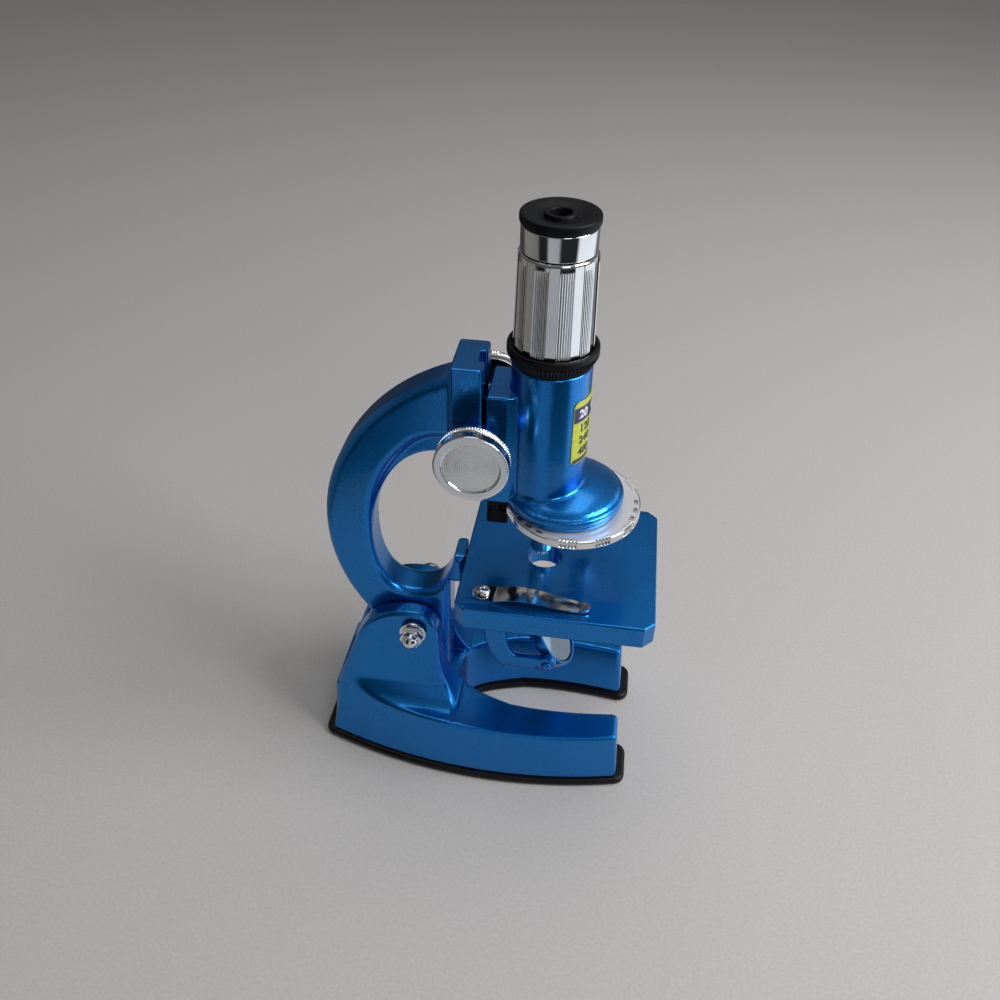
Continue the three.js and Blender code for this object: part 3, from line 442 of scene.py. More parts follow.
class Network:
    """Short way to build one node material."""

    def __init__(self, name):
        self.material = bpy.data.materials.new(name)
        self.material.use_nodes = True
        self.tree = self.material.node_tree
        self.shader = self.tree.nodes["Principled BSDF"]
        self.where = self.add("ShaderNodeTexCoord").outputs["Object"]

    def add(self, kind, **settings):
        node = self.tree.nodes.new(kind)
        for key, value in settings.items():
            setattr(node, key, value)
        return node

    def link(self, source, target):
        self.tree.links.new(source, target)

    def set(self, **values):
        for key, value in values.items():
            self.shader.inputs[key.replace("_", " ")].default_value = value

    def noise(self, scale, detail=3.0, stretch=None):
        node = self.add("ShaderNodeTexNoise")
        node.inputs["Scale"].default_value = scale
        node.inputs["Detail"].default_value = detail
        if stretch:
            spread = self.add("ShaderNodeMapping")
            spread.inputs["Scale"].default_value = stretch
            self.link(self.where, spread.inputs["Vector"])
            self.link(spread.outputs["Vector"], node.inputs["Vector"])
        else:
            self.link(self.where, node.inputs["Vector"])
        return node.outputs["Fac"]

    def cells(self, scale):
        node = self.add("ShaderNodeTexVoronoi")
        node.inputs["Scale"].default_value = scale
        self.link(self.where, node.inputs["Vector"])
        return node

    def ramp(self, factor, *stops):
        node = self.add("ShaderNodeValToRGB")
        elements = node.color_ramp.elements
        while len(elements) < len(stops):
            elements.new(0.5)
        for element, (position, colour) in zip(elements, stops):
            element.position = position
            element.color = (*colour, 1)
        self.link(factor, node.inputs["Fac"])
        return node.outputs["Color"]

    def span(self, factor, low, high):
        """Maps 0..1 onto low..high."""
        node = self.add("ShaderNodeMapRange")
        node.inputs["To Min"].default_value = low
        node.inputs["To Max"].default_value = high
        self.link(factor, node.inputs["Value"])
        return node.outputs["Result"]

    def bump(self, height, distance, strength=1.0, below=None):
        node = self.add("ShaderNodeBump")
        node.inputs["Distance"].default_value = distance
        node.inputs["Strength"].default_value = strength
        self.link(height, node.inputs["Height"])
        if below is not None:
            self.link(below, node.inputs["Normal"])
        return node.outputs["Normal"]

    def colour(self, source):
        self.link(source, self.shader.inputs["Base Color"])

    def roughness(self, source):
        self.link(source, self.shader.inputs["Roughness"])

    def normal(self, source):
        self.link(source, self.shader.inputs["Normal"])

    def mottled(self, scale, *stops, detail=3.0):
        """Base colour that drifts between the stops."""
        self.colour(self.ramp(self.noise(scale, detail), *stops))

    def uneven(self, scale, low, high):
        """Roughness that drifts between low and high."""
        self.roughness(self.span(self.noise(scale), low, high))


def blue_paint():
    """Metallic blue lacquer: fine flakes under a clear coat with a little orange peel."""
    n = Network("blue_paint")
    n.set(Metallic=0.92, Coat_Weight=0.35, Coat_Roughness=0.06)
    flakes = n.cells(3400)
    shade = n.ramp(
        flakes.outputs["Distance"],
        (0.0, (0.010, 0.33, 0.86)), (0.45, (0.004, 0.19, 0.58)), (1.0, (0.002, 0.12, 0.40)),
    )
    n.colour(shade)
    n.uneven(90, 0.22, 0.31)
    peel = n.bump(n.noise(420, 2), 0.00002, 0.35)
    sparkle = n.bump(flakes.outputs["Distance"], 0.00002, 0.45, peel)
    n.normal(sparkle)
    return n.material


def chrome():
    """Thin plating over plastic or brass: bright, very slightly wavy and hazed."""
    n = Network("chrome")
    n.set(Metallic=1.0)
    n.mottled(60, (0.3, (0.74, 0.745, 0.75)), (0.75, (0.86, 0.86, 0.855)))
    n.uneven(300, 0.03, 0.11)
    n.normal(n.bump(n.noise(130, 2), 0.00012, 0.22))
    return n.material


def turned_chrome():
    """Plated face with the fine rings of a lathe tool, round the knob's own axis."""
    n = Network("turned_chrome")
    n.set(Metallic=1.0)
    n.mottled(60, (0.3, (0.72, 0.72, 0.725)), (0.75, (0.84, 0.835, 0.83)))
    centre = n.add("ShaderNodeMapping")
    centre.inputs["Location"].default_value = (-SHAFT_X * MM, 0, -SHAFT_Z * MM)
    rings = n.add("ShaderNodeTexWave", wave_type="RINGS", rings_direction="Y")
    rings.inputs["Scale"].default_value = 620
    rings.inputs["Distortion"].default_value = 0.6
    n.link(n.where, centre.inputs["Vector"])
    n.link(centre.outputs["Vector"], rings.inputs["Vector"])
    n.roughness(n.span(rings.outputs["Fac"], 0.20, 0.32))
    n.normal(n.bump(rings.outputs["Fac"], 0.00002, 0.3))
    return n.material


def satin_chrome():
    """The turret's plated top face, left a little cloudy where the numbers are printed."""
    n = Network("satin_chrome")
    n.set(Metallic=0.55)
    n.mottled(60, (0.3, (0.70, 0.69, 0.68)), (0.75, (0.80, 0.79, 0.78)))
    n.uneven(300, 0.24, 0.36)
    n.normal(n.bump(n.noise(700, 2), 0.00002, 0.3))
    return n.material


def spring_steel():
    """Bright cold-rolled strip with rolling marks and faint stains."""
    n = Network("spring_steel")
    n.set(Metallic=1.0)
    stains = n.noise(75, 4)
    n.colour(n.ramp(stains, (0.35, (0.42, 0.39, 0.35)), (0.6, (0.76, 0.74, 0.71))))
    n.uneven(260, 0.05, 0.18)
    marks = n.noise(900, 2, (0.08, 1, 1))
    n.normal(n.bump(n.noise(95, 2), 0.0004, 0.3, n.bump(marks, 0.00002, 0.4)))
    return n.material


def steel():
    n = Network("steel")
    n.set(Metallic=1.0)
    n.mottled(240, (0.3, (0.42, 0.42, 0.43)), (0.7, (0.60, 0.60, 0.61)))
    n.uneven(500, 0.25, 0.42)
    n.normal(n.bump(n.noise(1500, 2, (1, 1, 0.1)), 0.00002, 0.4))
    return n.material


def brass():
    n = Network("brass")
    n.set(Metallic=1.0)
    n.mottled(180, (0.3, (0.48, 0.31, 0.10)), (0.7, (0.68, 0.47, 0.18)))
    n.uneven(500, 0.24, 0.4)
    n.normal(n.bump(n.noise(1500, 2, (1, 1, 0.1)), 0.00002, 0.4))
    return n.material


def black_plastic():
    """Moulded black plastic with a fine even grain."""
    n = Network("black_plastic")
    n.set(Specular_IOR_Level=0.16)
    n.mottled(200, (0.3, (0.0025, 0.0028, 0.004)), (0.7, (0.005, 0.0055, 0.0075)))
    n.uneven(700, 0.36, 0.5)
    n.normal(n.bump(n.noise(3600, 2), 0.00003, 0.35))
    return n.material


def black_rubber():
    """Soft black pad: a smooth skin, duller where it has been handled."""
    n = Network("black_rubber")
    n.set(Specular_IOR_Level=0.25)
    n.mottled(120, (0.3, (0.002, 0.002, 0.0025)), (0.7, (0.004, 0.004, 0.0048)))
    n.uneven(160, 0.22, 0.4)
    n.normal(n.bump(n.noise(1800, 3), 0.00004, 0.3))
    return n.material


def lens_glass():
    n = Network("lens_glass")
    n.set(Transmission_Weight=1.0, IOR=1.5)
    n.mottled(100, (0.3, (0.86, 0.93, 0.95)), (0.7, (0.93, 0.97, 0.98)))
    n.uneven(800, 0.01, 0.04)
    return n.material


def mirror_glass():
    n = Network("silvered_glass")
    n.set(Metallic=1.0)
    # Painted reflection: the silvering's colour is darkened and tinted blue, standing in for the dark blue
    # surroundings it mirrors.
    n.mottled(90, (0.3, (0.24, 0.35, 0.45)), (0.7, (0.32, 0.43, 0.53)))
    n.uneven(900, 0.02, 0.07)
    return n.material


def print_ink(name, light, dark):
    """Screen-printed ink on a satin film, with the film's slight unevenness."""
    n = Network(name)
    n.set(Specular_IOR_Level=0.5)
    n.mottled(900, (0.35, dark), (0.65, light), detail=4)
    n.uneven(500, 0.26, 0.4)
    n.normal(n.bump(n.noise(900, 2), 0.00002, 0.3))
    return n.material


def floor_material():
    n = Network("floor")
    n.set(Specular_IOR_Level=0.2)
    n.mottled(900, (0.3, (0.42, 0.405, 0.39)), (0.7, (0.47, 0.455, 0.44)), detail=5)
    n.uneven(60, 0.55, 0.7)
    n.normal(n.bump(n.noise(1300, 3), 0.00005, 0.2))
    return n.material


BLUE = blue_paint()
CHROME = chrome()
TURNED = turned_chrome()
SATIN = satin_chrome()
SPRING = spring_steel()
STEEL = steel()
BRASS = brass()
BLACK = black_plastic()
RUBBER = black_rubber()
GLASS = lens_glass()
MIRROR = mirror_glass()
INK_YELLOW = print_ink("ink_yellow", (0.50, 0.55, 0.04), (0.42, 0.46, 0.03))
INK_PURPLE = print_ink("ink_purple", (0.026, 0.016, 0.09), (0.016, 0.010, 0.06))
INK_BLACK = print_ink("ink_black", (0.014, 0.014, 0.016), (0.008, 0.008, 0.009))
INK_GREEN = print_ink("ink_green", (0.035, 0.05, 0.015), (0.02, 0.03, 0.01))
INK_WHITE = print_ink("ink_white", (0.78, 0.76, 0.82), (0.66, 0.64, 0.72))

SLOT_MATERIALS = {
    "blue_paint": BLUE, "chrome": CHROME, "steel": STEEL, "brass": BRASS,
    "black_plastic": BLACK, "black_rubber": RUBBER, "lens_glass": GLASS,
    "silvered_glass": MIRROR, "printed_label": INK_YELLOW,
}


def cast(name, field, box_mm, step, body, slot="blue_paint", nodes=()):
    mesh = skin(name, field, box_mm, step)
    return new_object(name, mesh, body, SLOT_MATERIALS[slot], nodes)


def turned(name, profile, place, body, slot, nodes=(), segments=96, wave=None):
    mesh = turned_mesh(name, profile, place, segments, wave)
    return new_object(name, mesh, body, SLOT_MATERIALS[slot], nodes)


# ---------- foot ----------

PAD_SCREWS = [(40, -21), (40, 21), (-38, 0)]


def foot_field():
    corner = 1.8
    low = horseshoe(LOW_SIDE, inset=corner)
    high = horseshoe(HIGH_SIDE, -1, 1.35, 0.6, corner)
    ears = ear_outline()
    lean = (EAR_BASE - EAR_TOP) / (BASE[2][1] - FOOT_HIGH)

    def field(x, y, z):
        rise = (z - FOOT_LOW) / (FOOT_HIGH - FOOT_LOW)
        walls = (1 - rise) * distance_to(low, x, y) + rise * distance_to(high, x, y) - corner
        faces = np.abs(y) - (EAR_BASE - lean * (z - FOOT_HIGH))
        # Hollow flare at the ears' outer sides only, ending where their side view ends.
        flared = join(z - FOOT_HIGH, faces, EAR_FLARE)
        pair = meet(flared, distance_to(ears, x, z), 1.5)
        pair = meet(pair, EAR_SLOT - np.abs(y), 0.7)
        top = join(z - FOOT_HIGH, pair, 0.5)
        body = meet(meet(top, walls, 1.3), FOOT_LOW - z, 0.4)
        body = cut(body, np.hypot(x - PIVOT_X, z - PIVOT_Z) - PIVOT_BORE, 0.3)
        for px, py in PAD_SCREWS:
            body = cut(body, rod_field(x, y, z, (px, py), 1.3, 0, 12), 0.2)
        return body

    return field


def pad_field():
    corner = 4.2
    plan = horseshoe(LOW_SIDE, 3, inset=corner)
    half = PAD[2][1] / 2

    def field(x, y, z):
        body = meet(distance_to(plan, x, y) - corner, np.abs(z - half) - half, 1.35)
        for px, py in PAD_SCREWS:
            body = cut(body, rod_field(x, y, z, (px, py), 2.6, -2, 1.7), 0.2)
            body = cut(body, np.hypot(x - px, y - py) - 1.3, 0.1)
        return body

    return field


def build_foot():
    cast("foot_casting", foot_field(), BASE, 0.75, "base", nodes=["base_casting"])
    cast("foot_pad", pad_field(), PAD, 0.6, "base", "black_rubber", ["base_pad"])


def build_pivot():
    """Bolt head on the far side, washer and domed nut on the near side."""
    face = 14.5
    washer = [(3, face + 0.5), (4.7, face + 0.5), (4.7, face + 1.6), (3, face + 1.6)]
    for side, where in ((-1, "near"), (1, "far")):
        turned(
            f"pivot_ring_{where}", rounded(washer, 0.25), lying(PIVOT_X, PIVOT_Z, side),
            "base", "chrome", [f"pivot_washer_{where}"], 64,
        )
    start = face + 1.9
    hexagon = [(3, start), (4.1, start), (4.1, start + 2.6), (3, start + 2.6)]

    def six_flats(angle, radius, _height):
        corner = math.pi / 6
        flat = 3.55 / np.cos((angle % (2 * corner)) - corner)
        return np.where(radius > 3.2, np.minimum(radius, flat), radius)

    turned(
        "pivot_nut_body", rounded(hexagon, 0.35), lying(PIVOT_X, PIVOT_Z, -1),
        "base", "chrome", ["pivot_nut"], 96, six_flats,
    )
    dome = [(0, start + 2), (3.25, start + 2), (3.25, start + 2.9)]
    dome += [(r, start + 2.9 + h) for r, h in arc(0, 0, 2.9, 4, 90, 8)]
    turned(
        "pivot_nut_dome", dome, lying(PIVOT_X, PIVOT_Z, -1), "base", "chrome",
        segments=64,
    )
    head = face + 1.9
    bolt = [(0, -head - 2), (2.7, -head - 2), (2.7, head), (3.9, head), (3.9, head + 0.8)]
    bolt += [(3.9 * r, head + 0.8 + 1.3 * h) for r, h in arc(0, 0, 1, 6, 90, 9)]
    turned(
        "pivot_bolt_round", bolt, lying(PIVOT_X, PIVOT_Z, 1), "base", "chrome",
        ["pivot_bolt"], 64,
    )


# ---------- arm ----------

GUIDE_SCREWS = (141.5, 122)
STAGE_SCREW = (4.2, 77.6)


def arm_field():
    side, rib = arm_outline(), rib_outline()

    def field(x, y, z):
        width = np.abs(y)
        body = meet(distance_to(side, x, z), width - ARM_HALF, 3.0)
        web = meet(distance_to(rib, x, z), width - 3.8, 1.2)
        body = join(body, web, 1.6)
        head = meet(between(x, HEAD_BACK, HEAD_FRONT), width - HEAD_HALF, 0.9)
        head = meet(head, between(z, HEAD_LOW, HEAD_HIGH), 0.6)
        body = join(body, head, 1.2)
        lobe = rod_field(x, z, width, (SHAFT_X, SHAFT_Z), 4.2, 8, 13.6, 0.4)
        root = meet(between(x, SHAFT_X - 4.2, HEAD_FRONT), np.abs(z - SHAFT_Z) - 4.2, 0.4)
        lobe = join(lobe, meet(root, width - 13.6, 0.4), 0.3)
        body = join(body, lobe, 0.6)
        notch = box_field(x, y, z, ((-2.4, 5), (-NOTCH_HALF, NOTCH_HALF), (110, 170)), 0.2)
        body = cut(body, notch, 0.25)
        body = cut(body, np.hypot(x - SHAFT_X, z - SHAFT_Z) - BUSH_BORE, 0.2)
        near, far = RACK[1]
        gear = rod_field(x, z, y, (SHAFT_X, SHAFT_Z), GEAR_ROOM, near - 0.2, far + 0.2, 0.1)
        body = cut(body, gear, 0.1)
        return cut(body, np.hypot(x - PIVOT_X, z - PIVOT_Z) - PIVOT_BORE, 0.2)

    return field


def guide_field():
    """T-shaped rail: a neck in the head's notch and a wide lip in the carriage."""
    half = 4.4

    def field(x, y, z):
        neck = meet(between(x, -2.1, 3), np.abs(y) - 2.7, 0.25)
        lip = meet(between(x, 2.7, 4.1), np.abs(y) - half, 0.25)
        rail = meet(join(neck, lip, 0.1), between(z, 102.5, GUIDE[2][1]), 0.3)
        rail = meet(rail, np.minimum(0.6 - x, 112.5 - z), 0.1)
        stop = box_field(x, y, z, ((0.5, GUIDE[0][1]), (-3, 3), (GUIDE[2][0], 103)), 0.3)
        body = np.minimum(rail, stop)
        body = cut(body, np.hypot(x - SHAFT_X, z - SHAFT_Z) - 1.5, 0.1)
        for height in GUIDE_SCREWS:
            body = cut(body, rod_field(y, z, x, (0, height), 2.2, 2.6, 8), 0.1)
        return body

    return field


def build_arm():
    spans_mm = spans("arm_casting")
    cast("arm_body", arm_field(), spans_mm, 0.8, "arm", nodes=["arm_casting"])
    cast(
        "guide_rail", guide_field(), GUIDE, 0.5, "arm", "black_plastic", ["focus_guide"],
    )


# ---------- stage ----------


def stage_field():
    (x0, _), _, (low, high) = STAGE
    plan, inner = stage_plan(), stage_plan(STAGE_WALL)
    ribs = (-10.5, 10.5)

    def field(x, y, z):
        body = meet(distance_to(plan, x, y), between(z, low, high), 0.45)
        hollow = meet(distance_to(inner, x, y), between(z, low - 5, high - STAGE_SKIN), 0.6)
        body = cut(body, hollow, 0.5)
        wall = box_field(x, y, z, ((x0 + 1, 0.5), (-8, 8), (low, high - 1)), 0.4)
        body = join(body, wall, 0.5)
        for rib_y in ribs:
            spine = box_field(
                x, y, z, ((10, 56), (rib_y - 0.7, rib_y + 0.7), (high - 6, high - 1)), 0.3,
            )
            body = join(body, spine, 0.4)
        hole_x, hole = LIGHT_HOLE
        boss = rod_field(x, y, z, (hole_x, 0), hole + 2.2, low + 0.6, high - 1, 0.5)
        body = cut(join(body, boss, 0.6), np.hypot(x - hole_x, y) - hole, 0.5)
        relief = box_field(
            x, np.abs(y), z, ((-3.2, 5.4), (25.7, 29.1), (high - 0.45, high + 3)), 0.1,
        )
        body = cut(body, relief, 0.1)
        for side in (-1, 1):
            body = cut(body, np.hypot(x - CLIP_X, y - side * CLIP_Y) - 1.5, 0.2)
            place = (side * STAGE_SCREW[0], STAGE_SCREW[1])
            body = cut(body, rod_field(y, z, x, place, 1.2, -9, 0), 0.1)
            body = cut(body, rod_field(y, z, x, place, 2.1, -1, 3), 0.1)
        return body

    return field


def clip_mesh(name, side):
    """Bright strip: round eye under the screw, a bowed middle and a lifted tip."""
    length, half, thick, rows, columns = 35.0, 3.5, 0.42, 70, 9
    top_z = STAGE[2][1] + 0.3 + thick
    # The stations bunch towards both round ends.
    turn = np.linspace(0, math.pi, rows)
    along = (length + half) * (1 - np.cos(turn)) / 2 - half
    t = np.clip(along / length, 0, 1)
    body_half = half - 1.25 * t ** 2.2
    eye = np.sqrt(np.maximum(half ** 2 - np.minimum(along, 0) ** 2, 0))
    tip_half = half - 1.25
    over = np.maximum(along - (length - tip_half), 0)
    tip = np.sqrt(np.maximum(tip_half ** 2 - over ** 2, 0))
    width = np.where(along < 0, eye, np.where(over > 0, np.minimum(body_half, tip), body_half))
    lift = np.clip((along - 4) / (length - 4), 0, 1)
    bow = 1.8 * np.sin(math.pi * lift ** 0.6) ** 2
    curl = 0.9 * np.clip((lift - 0.86) / 0.14, 0, 1) ** 1.6
    across = np.linspace(-1, 1, columns)
    sheets = []
    for drop in (0.0, -thick):
        x = np.repeat(along[:, None], columns, axis=1)
        y = width[:, None] * across[None, :]
        z = (bow + curl + drop)[:, None] - 0.12 * across[None, :] ** 2
        sheets.append(np.stack([x, y, z], axis=-1))
    points = np.concatenate([s.reshape(-1, 3) for s in sheets])
    index = np.arange(2 * rows * columns).reshape(2, rows, columns)
    faces = []
    for i in range(rows - 1):
        for j in range(columns - 1):
            a, b = index[0, i, j], index[0, i + 1, j]
            c, d = index[0, i + 1, j + 1], index[0, i, j + 1]
            under = rows * columns
            faces.append((a, b, c, d))
            faces.append((a + under, d + under, c + under, b + under))
        for j, flip in ((0, False), (columns - 1, True)):
            a, b = index[0, i, j], index[0, i + 1, j]
            quad = (a, a + rows * columns, b + rows * columns, b)
            faces.append(quad[::-1] if flip else quad)
    mesh = mesh_from(name, points, [tuple(int(v) for v in f) for f in faces])
    turn_in = Matrix.Rotation(math.radians(side * 3.6), 4, "Z")
    mesh.transform(standing(CLIP_X, side * CLIP_Y, top_z) @ turn_in)
    weld(mesh, 1e-6)
    mesh.shade_smooth()
    mesh.set_sharp_from_angle(angle=math.radians(45))
    return mesh


def build_stage():
    cast("stage_plate", stage_field(), STAGE, 0.7, "arm", nodes=["stage"])
    seat = STAGE[2][1] + 1.1
    # The dome ends in a small flat crown.
    dome = [(0, seat - 4.2), (1.2, seat - 4.2), (1.2, seat), (2.35, seat), (2.35, seat + 0.35)]
    dome += [(2.35 * math.cos(a), seat + 0.35 + 1.2 * math.sin(a)) for a in np.linspace(0.15, 1.2, 8)]
    dome += [(0.75, seat + 1.0), (0, seat + 0.85)]
    for side, where in ((-1, "near"), (1, "far")):
        new_object(
            f"clip_{where}_strip", clip_mesh(f"clip_{where}_strip", side),
            f"clip_{where}", SPRING, [f"clip_{where}"],
        )
        turned(
            f"clip_{where}_dome", dome, standing(CLIP_X, side * CLIP_Y), "arm", "chrome",
            [f"clip_screw_{where}"], 48,
        )


# ---------- mirror ----------


def fork_field():
    side = fork_outline()
    inner, outer = 13.6, FORK[1][1]
    top = FORK[2][1]

    def field(x, y, z):
        width = np.abs(y)
        arms = meet(distance_to(side, x, z), between(width, inner, outer), 0.8)
        boss = rod_field(x, z, width, (MIRROR_X, MIRROR_Z), 3.3, inner, outer, 0.5)
        bridge = box_field(x, y, z, ((FORK[0][0], 9), (-inner - 1, inner + 1), (top - 2, top)))
        body = join(join(arms, boss, 0.8), bridge, 0.8)
        return cut(body, np.hypot(x - MIRROR_X, z - MIRROR_Z) - 1.4, 0.2)

    return field


def build_mirror():
    cast("fork_body", fork_field(), FORK, 0.6, "arm", nodes=["mirror_fork"])
    r = MIRROR_RADIUS
    cup = [(0, -3.4), (r - 2, -3.4), (r, -1.4), (r, 2.2), (11.2, 2.2), (11.2, 0.2), (0, 0.2)]
    turned(
        "mirror_cup", rounded(cup, 0.7, 6), on_mirror(), "mirror", "blue_paint",
        ["mirror_housing"], 96,
    )
    glass = [(0, 0.5), (10.9, 0.5), (10.9, 1.7), (0, 1.7)]
    turned(
        "mirror_disc", rounded(glass, 0.25), on_mirror(), "mirror", "silvered_glass",
        ["mirror_glass"], 96,
    )
    outer = FORK[1][1]
    pin = [(0, 11.7), (1.1, 11.7), (1.1, outer + 0.3), (1.9, outer + 0.3), (1.9, outer + 0.6)]
    pin += [(1.9 * r, outer + 0.6 + h) for r, h in arc(0, 0, 1, 15, 90, 15)]
    for side, where in ((-1, "near"), (1, "far")):
        turned(
            f"mirror_stud_{where}", pin, lying(MIRROR_X, MIRROR_Z, side),
            "arm", "blue_paint", [f"mirror_pin_{where}"], 40,
        )


# ---------- focus drive ----------


def build_knobs():
    (_, radius_at), _, _ = KNOB
    radius = radius_at - SHAFT_X
    outer, inner, boss = -KNOB[1][0], 19.6, 15.4
    teeth = 84

    def knurl(angle, r, h):
        inside = np.clip((h - inner - 0.3) / 0.3, 0, 1) * np.clip((outer - 0.55 - h) / 0.3, 0, 1)
        ridge = np.abs((angle * teeth / TAU) % 1 - 0.5) * 2
        return r - 0.75 * ridge * inside * (r > radius - 0.3)

    profile = rounded([(0, 22.4), (1.5, 22.4), (1.5, boss), (4.6, boss), (4.6, inner)], 0.3)
    profile += rounded([(4.6, inner), (radius, inner), (radius, inner + 1.2)], 0.45)[-6:]
    profile += [(radius, h) for h in np.linspace(inner + 1.2, outer - 0.55, 8)]
    profile += bezier((radius, outer - 0.4), (radius, outer), (radius - 0.4, outer), count=6)
    profile += bezier((9.0, outer), (8.45, outer), (8.4, outer - 0.75), count=6)
    depth = outer - 0.8
    rings = np.linspace(8.1, 0.25, 96)
    profile += [(r, depth + 0.012 * math.cos(TAU * r / 0.62)) for r in rings]
    profile += [(0, depth)]
    for side, where in ((-1, "near"), (1, "far")):
        knob = turned(
            f"knob_{where}", profile, lying(SHAFT_X, SHAFT_Z, side), "focus_drive",
            "chrome", [f"focus_knob_{where}"], 504, knurl,
        )
        knob.data.materials.append(TURNED)
        knob.data.materials.append(BLACK)
        axis = Vector((SHAFT_X * MM, 0, SHAFT_Z * MM))
        # Faces in the middle of the outer face take the turned chrome; the inner face, turned towards the arm,
        # takes the black material.
        for face in knob.data.polygons:
            away = face.center - axis
            reach = math.hypot(away.x, away.z)
            if abs(away.y) > (outer - 1.2) * MM and reach < 8.3 * MM:
                face.material_index = 1
            elif abs(away.y) < (inner + 0.2) * MM and reach > 4.7 * MM:
                face.material_index = 2


# ---------- tube and nosepiece ----------


def tube_field():
    side = [(CARRIAGE_BACK, CARRIAGE_HALF), (7, CARRIAGE_HALF), (10.5, 8.1), (14, 0.5)]
    plan = cleaned(mirrored(side))
    dome = cleaned(
        [(-8, FLANGE_LOW), (FLANGE_RADIUS, FLANGE_LOW)]
        + bezier(
            (FLANGE_RADIUS, 112.7), (FLANGE_RADIUS, 113.3), (FLANGE_RADIUS - 1.3, 113.8), count=8,
        )
        + bezier((16.6, 114.6), (13.5, 116.4), (8, 117.4))
        + [(-8, 117.4)]
    )

    def field(x, y, z):
        tube = rod_field(x, y, z, (TUBE_X, 0), TUBE_RADIUS, 112, TUBE_TOP, 0.4)
        carriage = meet(distance_to(plan, x, y), between(z, CARRIAGE_LOW, CARRIAGE_HIGH), 0.45)
        flange = distance_to(dome, np.hypot(x - FLANGE_X, y), z)
        body = join(join(tube, carriage, 0.35), flange, 1.3)
        body = cut(body, rod_field(x, y, z, (TUBE_X, 0), TUBE_BORE, 119, 170), 0.3)
        body = cut(body, rod_field(x, y, z, (TUBE_X, 0), LIGHT_PATH, 100, 130), 0.3)
        neck = meet(between(x, -5, 2.5), np.abs(y) - NOTCH_HALF, 0.1)
        lip = meet(between(x, 2.4, 4.4), np.abs(y) - 4.7, 0.1)
        body = cut(body, np.maximum(np.minimum(neck, lip), z - GUIDE_SLOT_TOP), 0.25)
        (_, rack_front), (near, far), (rack_low, _) = RACK
        room = ((-5, rack_front + 0.15), (near - 0.15, far + 0.15), (rack_low - 0.3, GUIDE_SLOT_TOP))
        body = cut(body, box_field(x, y, z, room, 0.1), 0.1)
        for where in ("upper", "lower"):
            (_, end), across, along = spans(f"rack_screw_{where}")
            centre = (sum(across) / 2, sum(along) / 2)
            body = cut(body, rod_field(y, z, x, centre, 0.9, 0, end + 0.3), 0.1)
        return body

    return field


def build_tube():
    cast("tube_body", tube_field(), spans("tube_casting"), 0.6, "carriage", nodes=["tube_casting"])
    plate = [(0, 109.1), (18.1, 109.1), (18.1, 110.7), (0, 110.7)]
    turned(
        "nosepiece_disc", rounded(plate, 0.45, 6), standing(FLANGE_X, 0), "carriage",
        "blue_paint", ["nosepiece_plate"], 128,
    )


def build_turret():
    low, high = DISC[2]
    radius = (DISC[1][1] - DISC[1][0]) / 2
    profile = [(0, low)] + bezier((radius - 0.5, low), (radius, low), (radius, low + 0.5), count=5)
    profile += [(radius, h) for h in np.linspace(low + 0.7, high - 0.7, 5)]
    profile += bezier((radius, high - 0.5), (radius, high), (radius - 0.5, high), count=5)
    profile += [(r, high) for r in (radius - 0.8, radius - 1.0, radius - 1.3, radius - 3)]
    profile += [(0, high)]

    def grips(angle, r, h):
        degrees = np.degrees(angle) + 89
        third = (degrees + 7) % 120 - 7
        groove = 0.0
        for middle in (0, 29, 58):
            offset = third - middle
            ridge = 0.5 + 0.5 * np.cos(offset * TAU / 2.9)
            groove = np.maximum(groove, ridge * (np.abs(offset) < 7.25))
        return r - 0.7 * groove * (r > radius - 1.1) * (h > low + 0.5)

    ring = turned(
        "turret_ring", profile, standing(TURRET_X, 0), "turret", "chrome",
        ["turret_disc"], 720, grips,
    )
    ring.data.materials.append(SATIN)
    for face in ring.data.polygons:
        if face.center.z > (high - 0.01) * MM:
            face.material_index = 1
    tips = {"high": 86.2, "low": 97.9, "mid": 92.0}
    for step, (power, tip) in enumerate(tips.items()):
        angle = math.pi + step * TAU / 3
        x = TURRET_X + OBJECTIVE_PITCH * math.cos(angle)
        y = OBJECTIVE_PITCH * math.sin(angle)
        wide = OBJECTIVE_RADIUS
        barrel = [(1.8, tip + 1.6), (1.8, 108.3), (2.7, 108.3), (2.7, 105.5), (wide, 105.5)]
        barrel += [(wide, 103.6), (wide - 0.35, 103.3), (wide - 0.35, 102.9), (wide, 102.6)]
        barrel += [(wide, tip + 1.9), (wide - 0.9, tip), (2.5, tip), (2.5, tip + 1.6)]
        turned(
            f"objective_barrel_{power}", rounded(barrel, 0.22), standing(x, y), "turret",
            "chrome", [f"objective_{power}"], 72,
        )


# ---------- label and numbers ----------


def wrapped(mesh, radius, azimuth=0.0, height=0.0):
    """Bends a flat mesh in (x, y) millimetres round the tube, centred on azimuth."""
    for vertex in mesh.vertices:
        across, up, out = vertex.co
        angle = azimuth + across / radius
        reach = radius + out
        vertex.co = (
            (TUBE_X + reach * math.cos(angle)) * MM,
            reach * math.sin(angle) * MM,
            (height + up) * MM,
        )
    mesh.update()
    return mesh


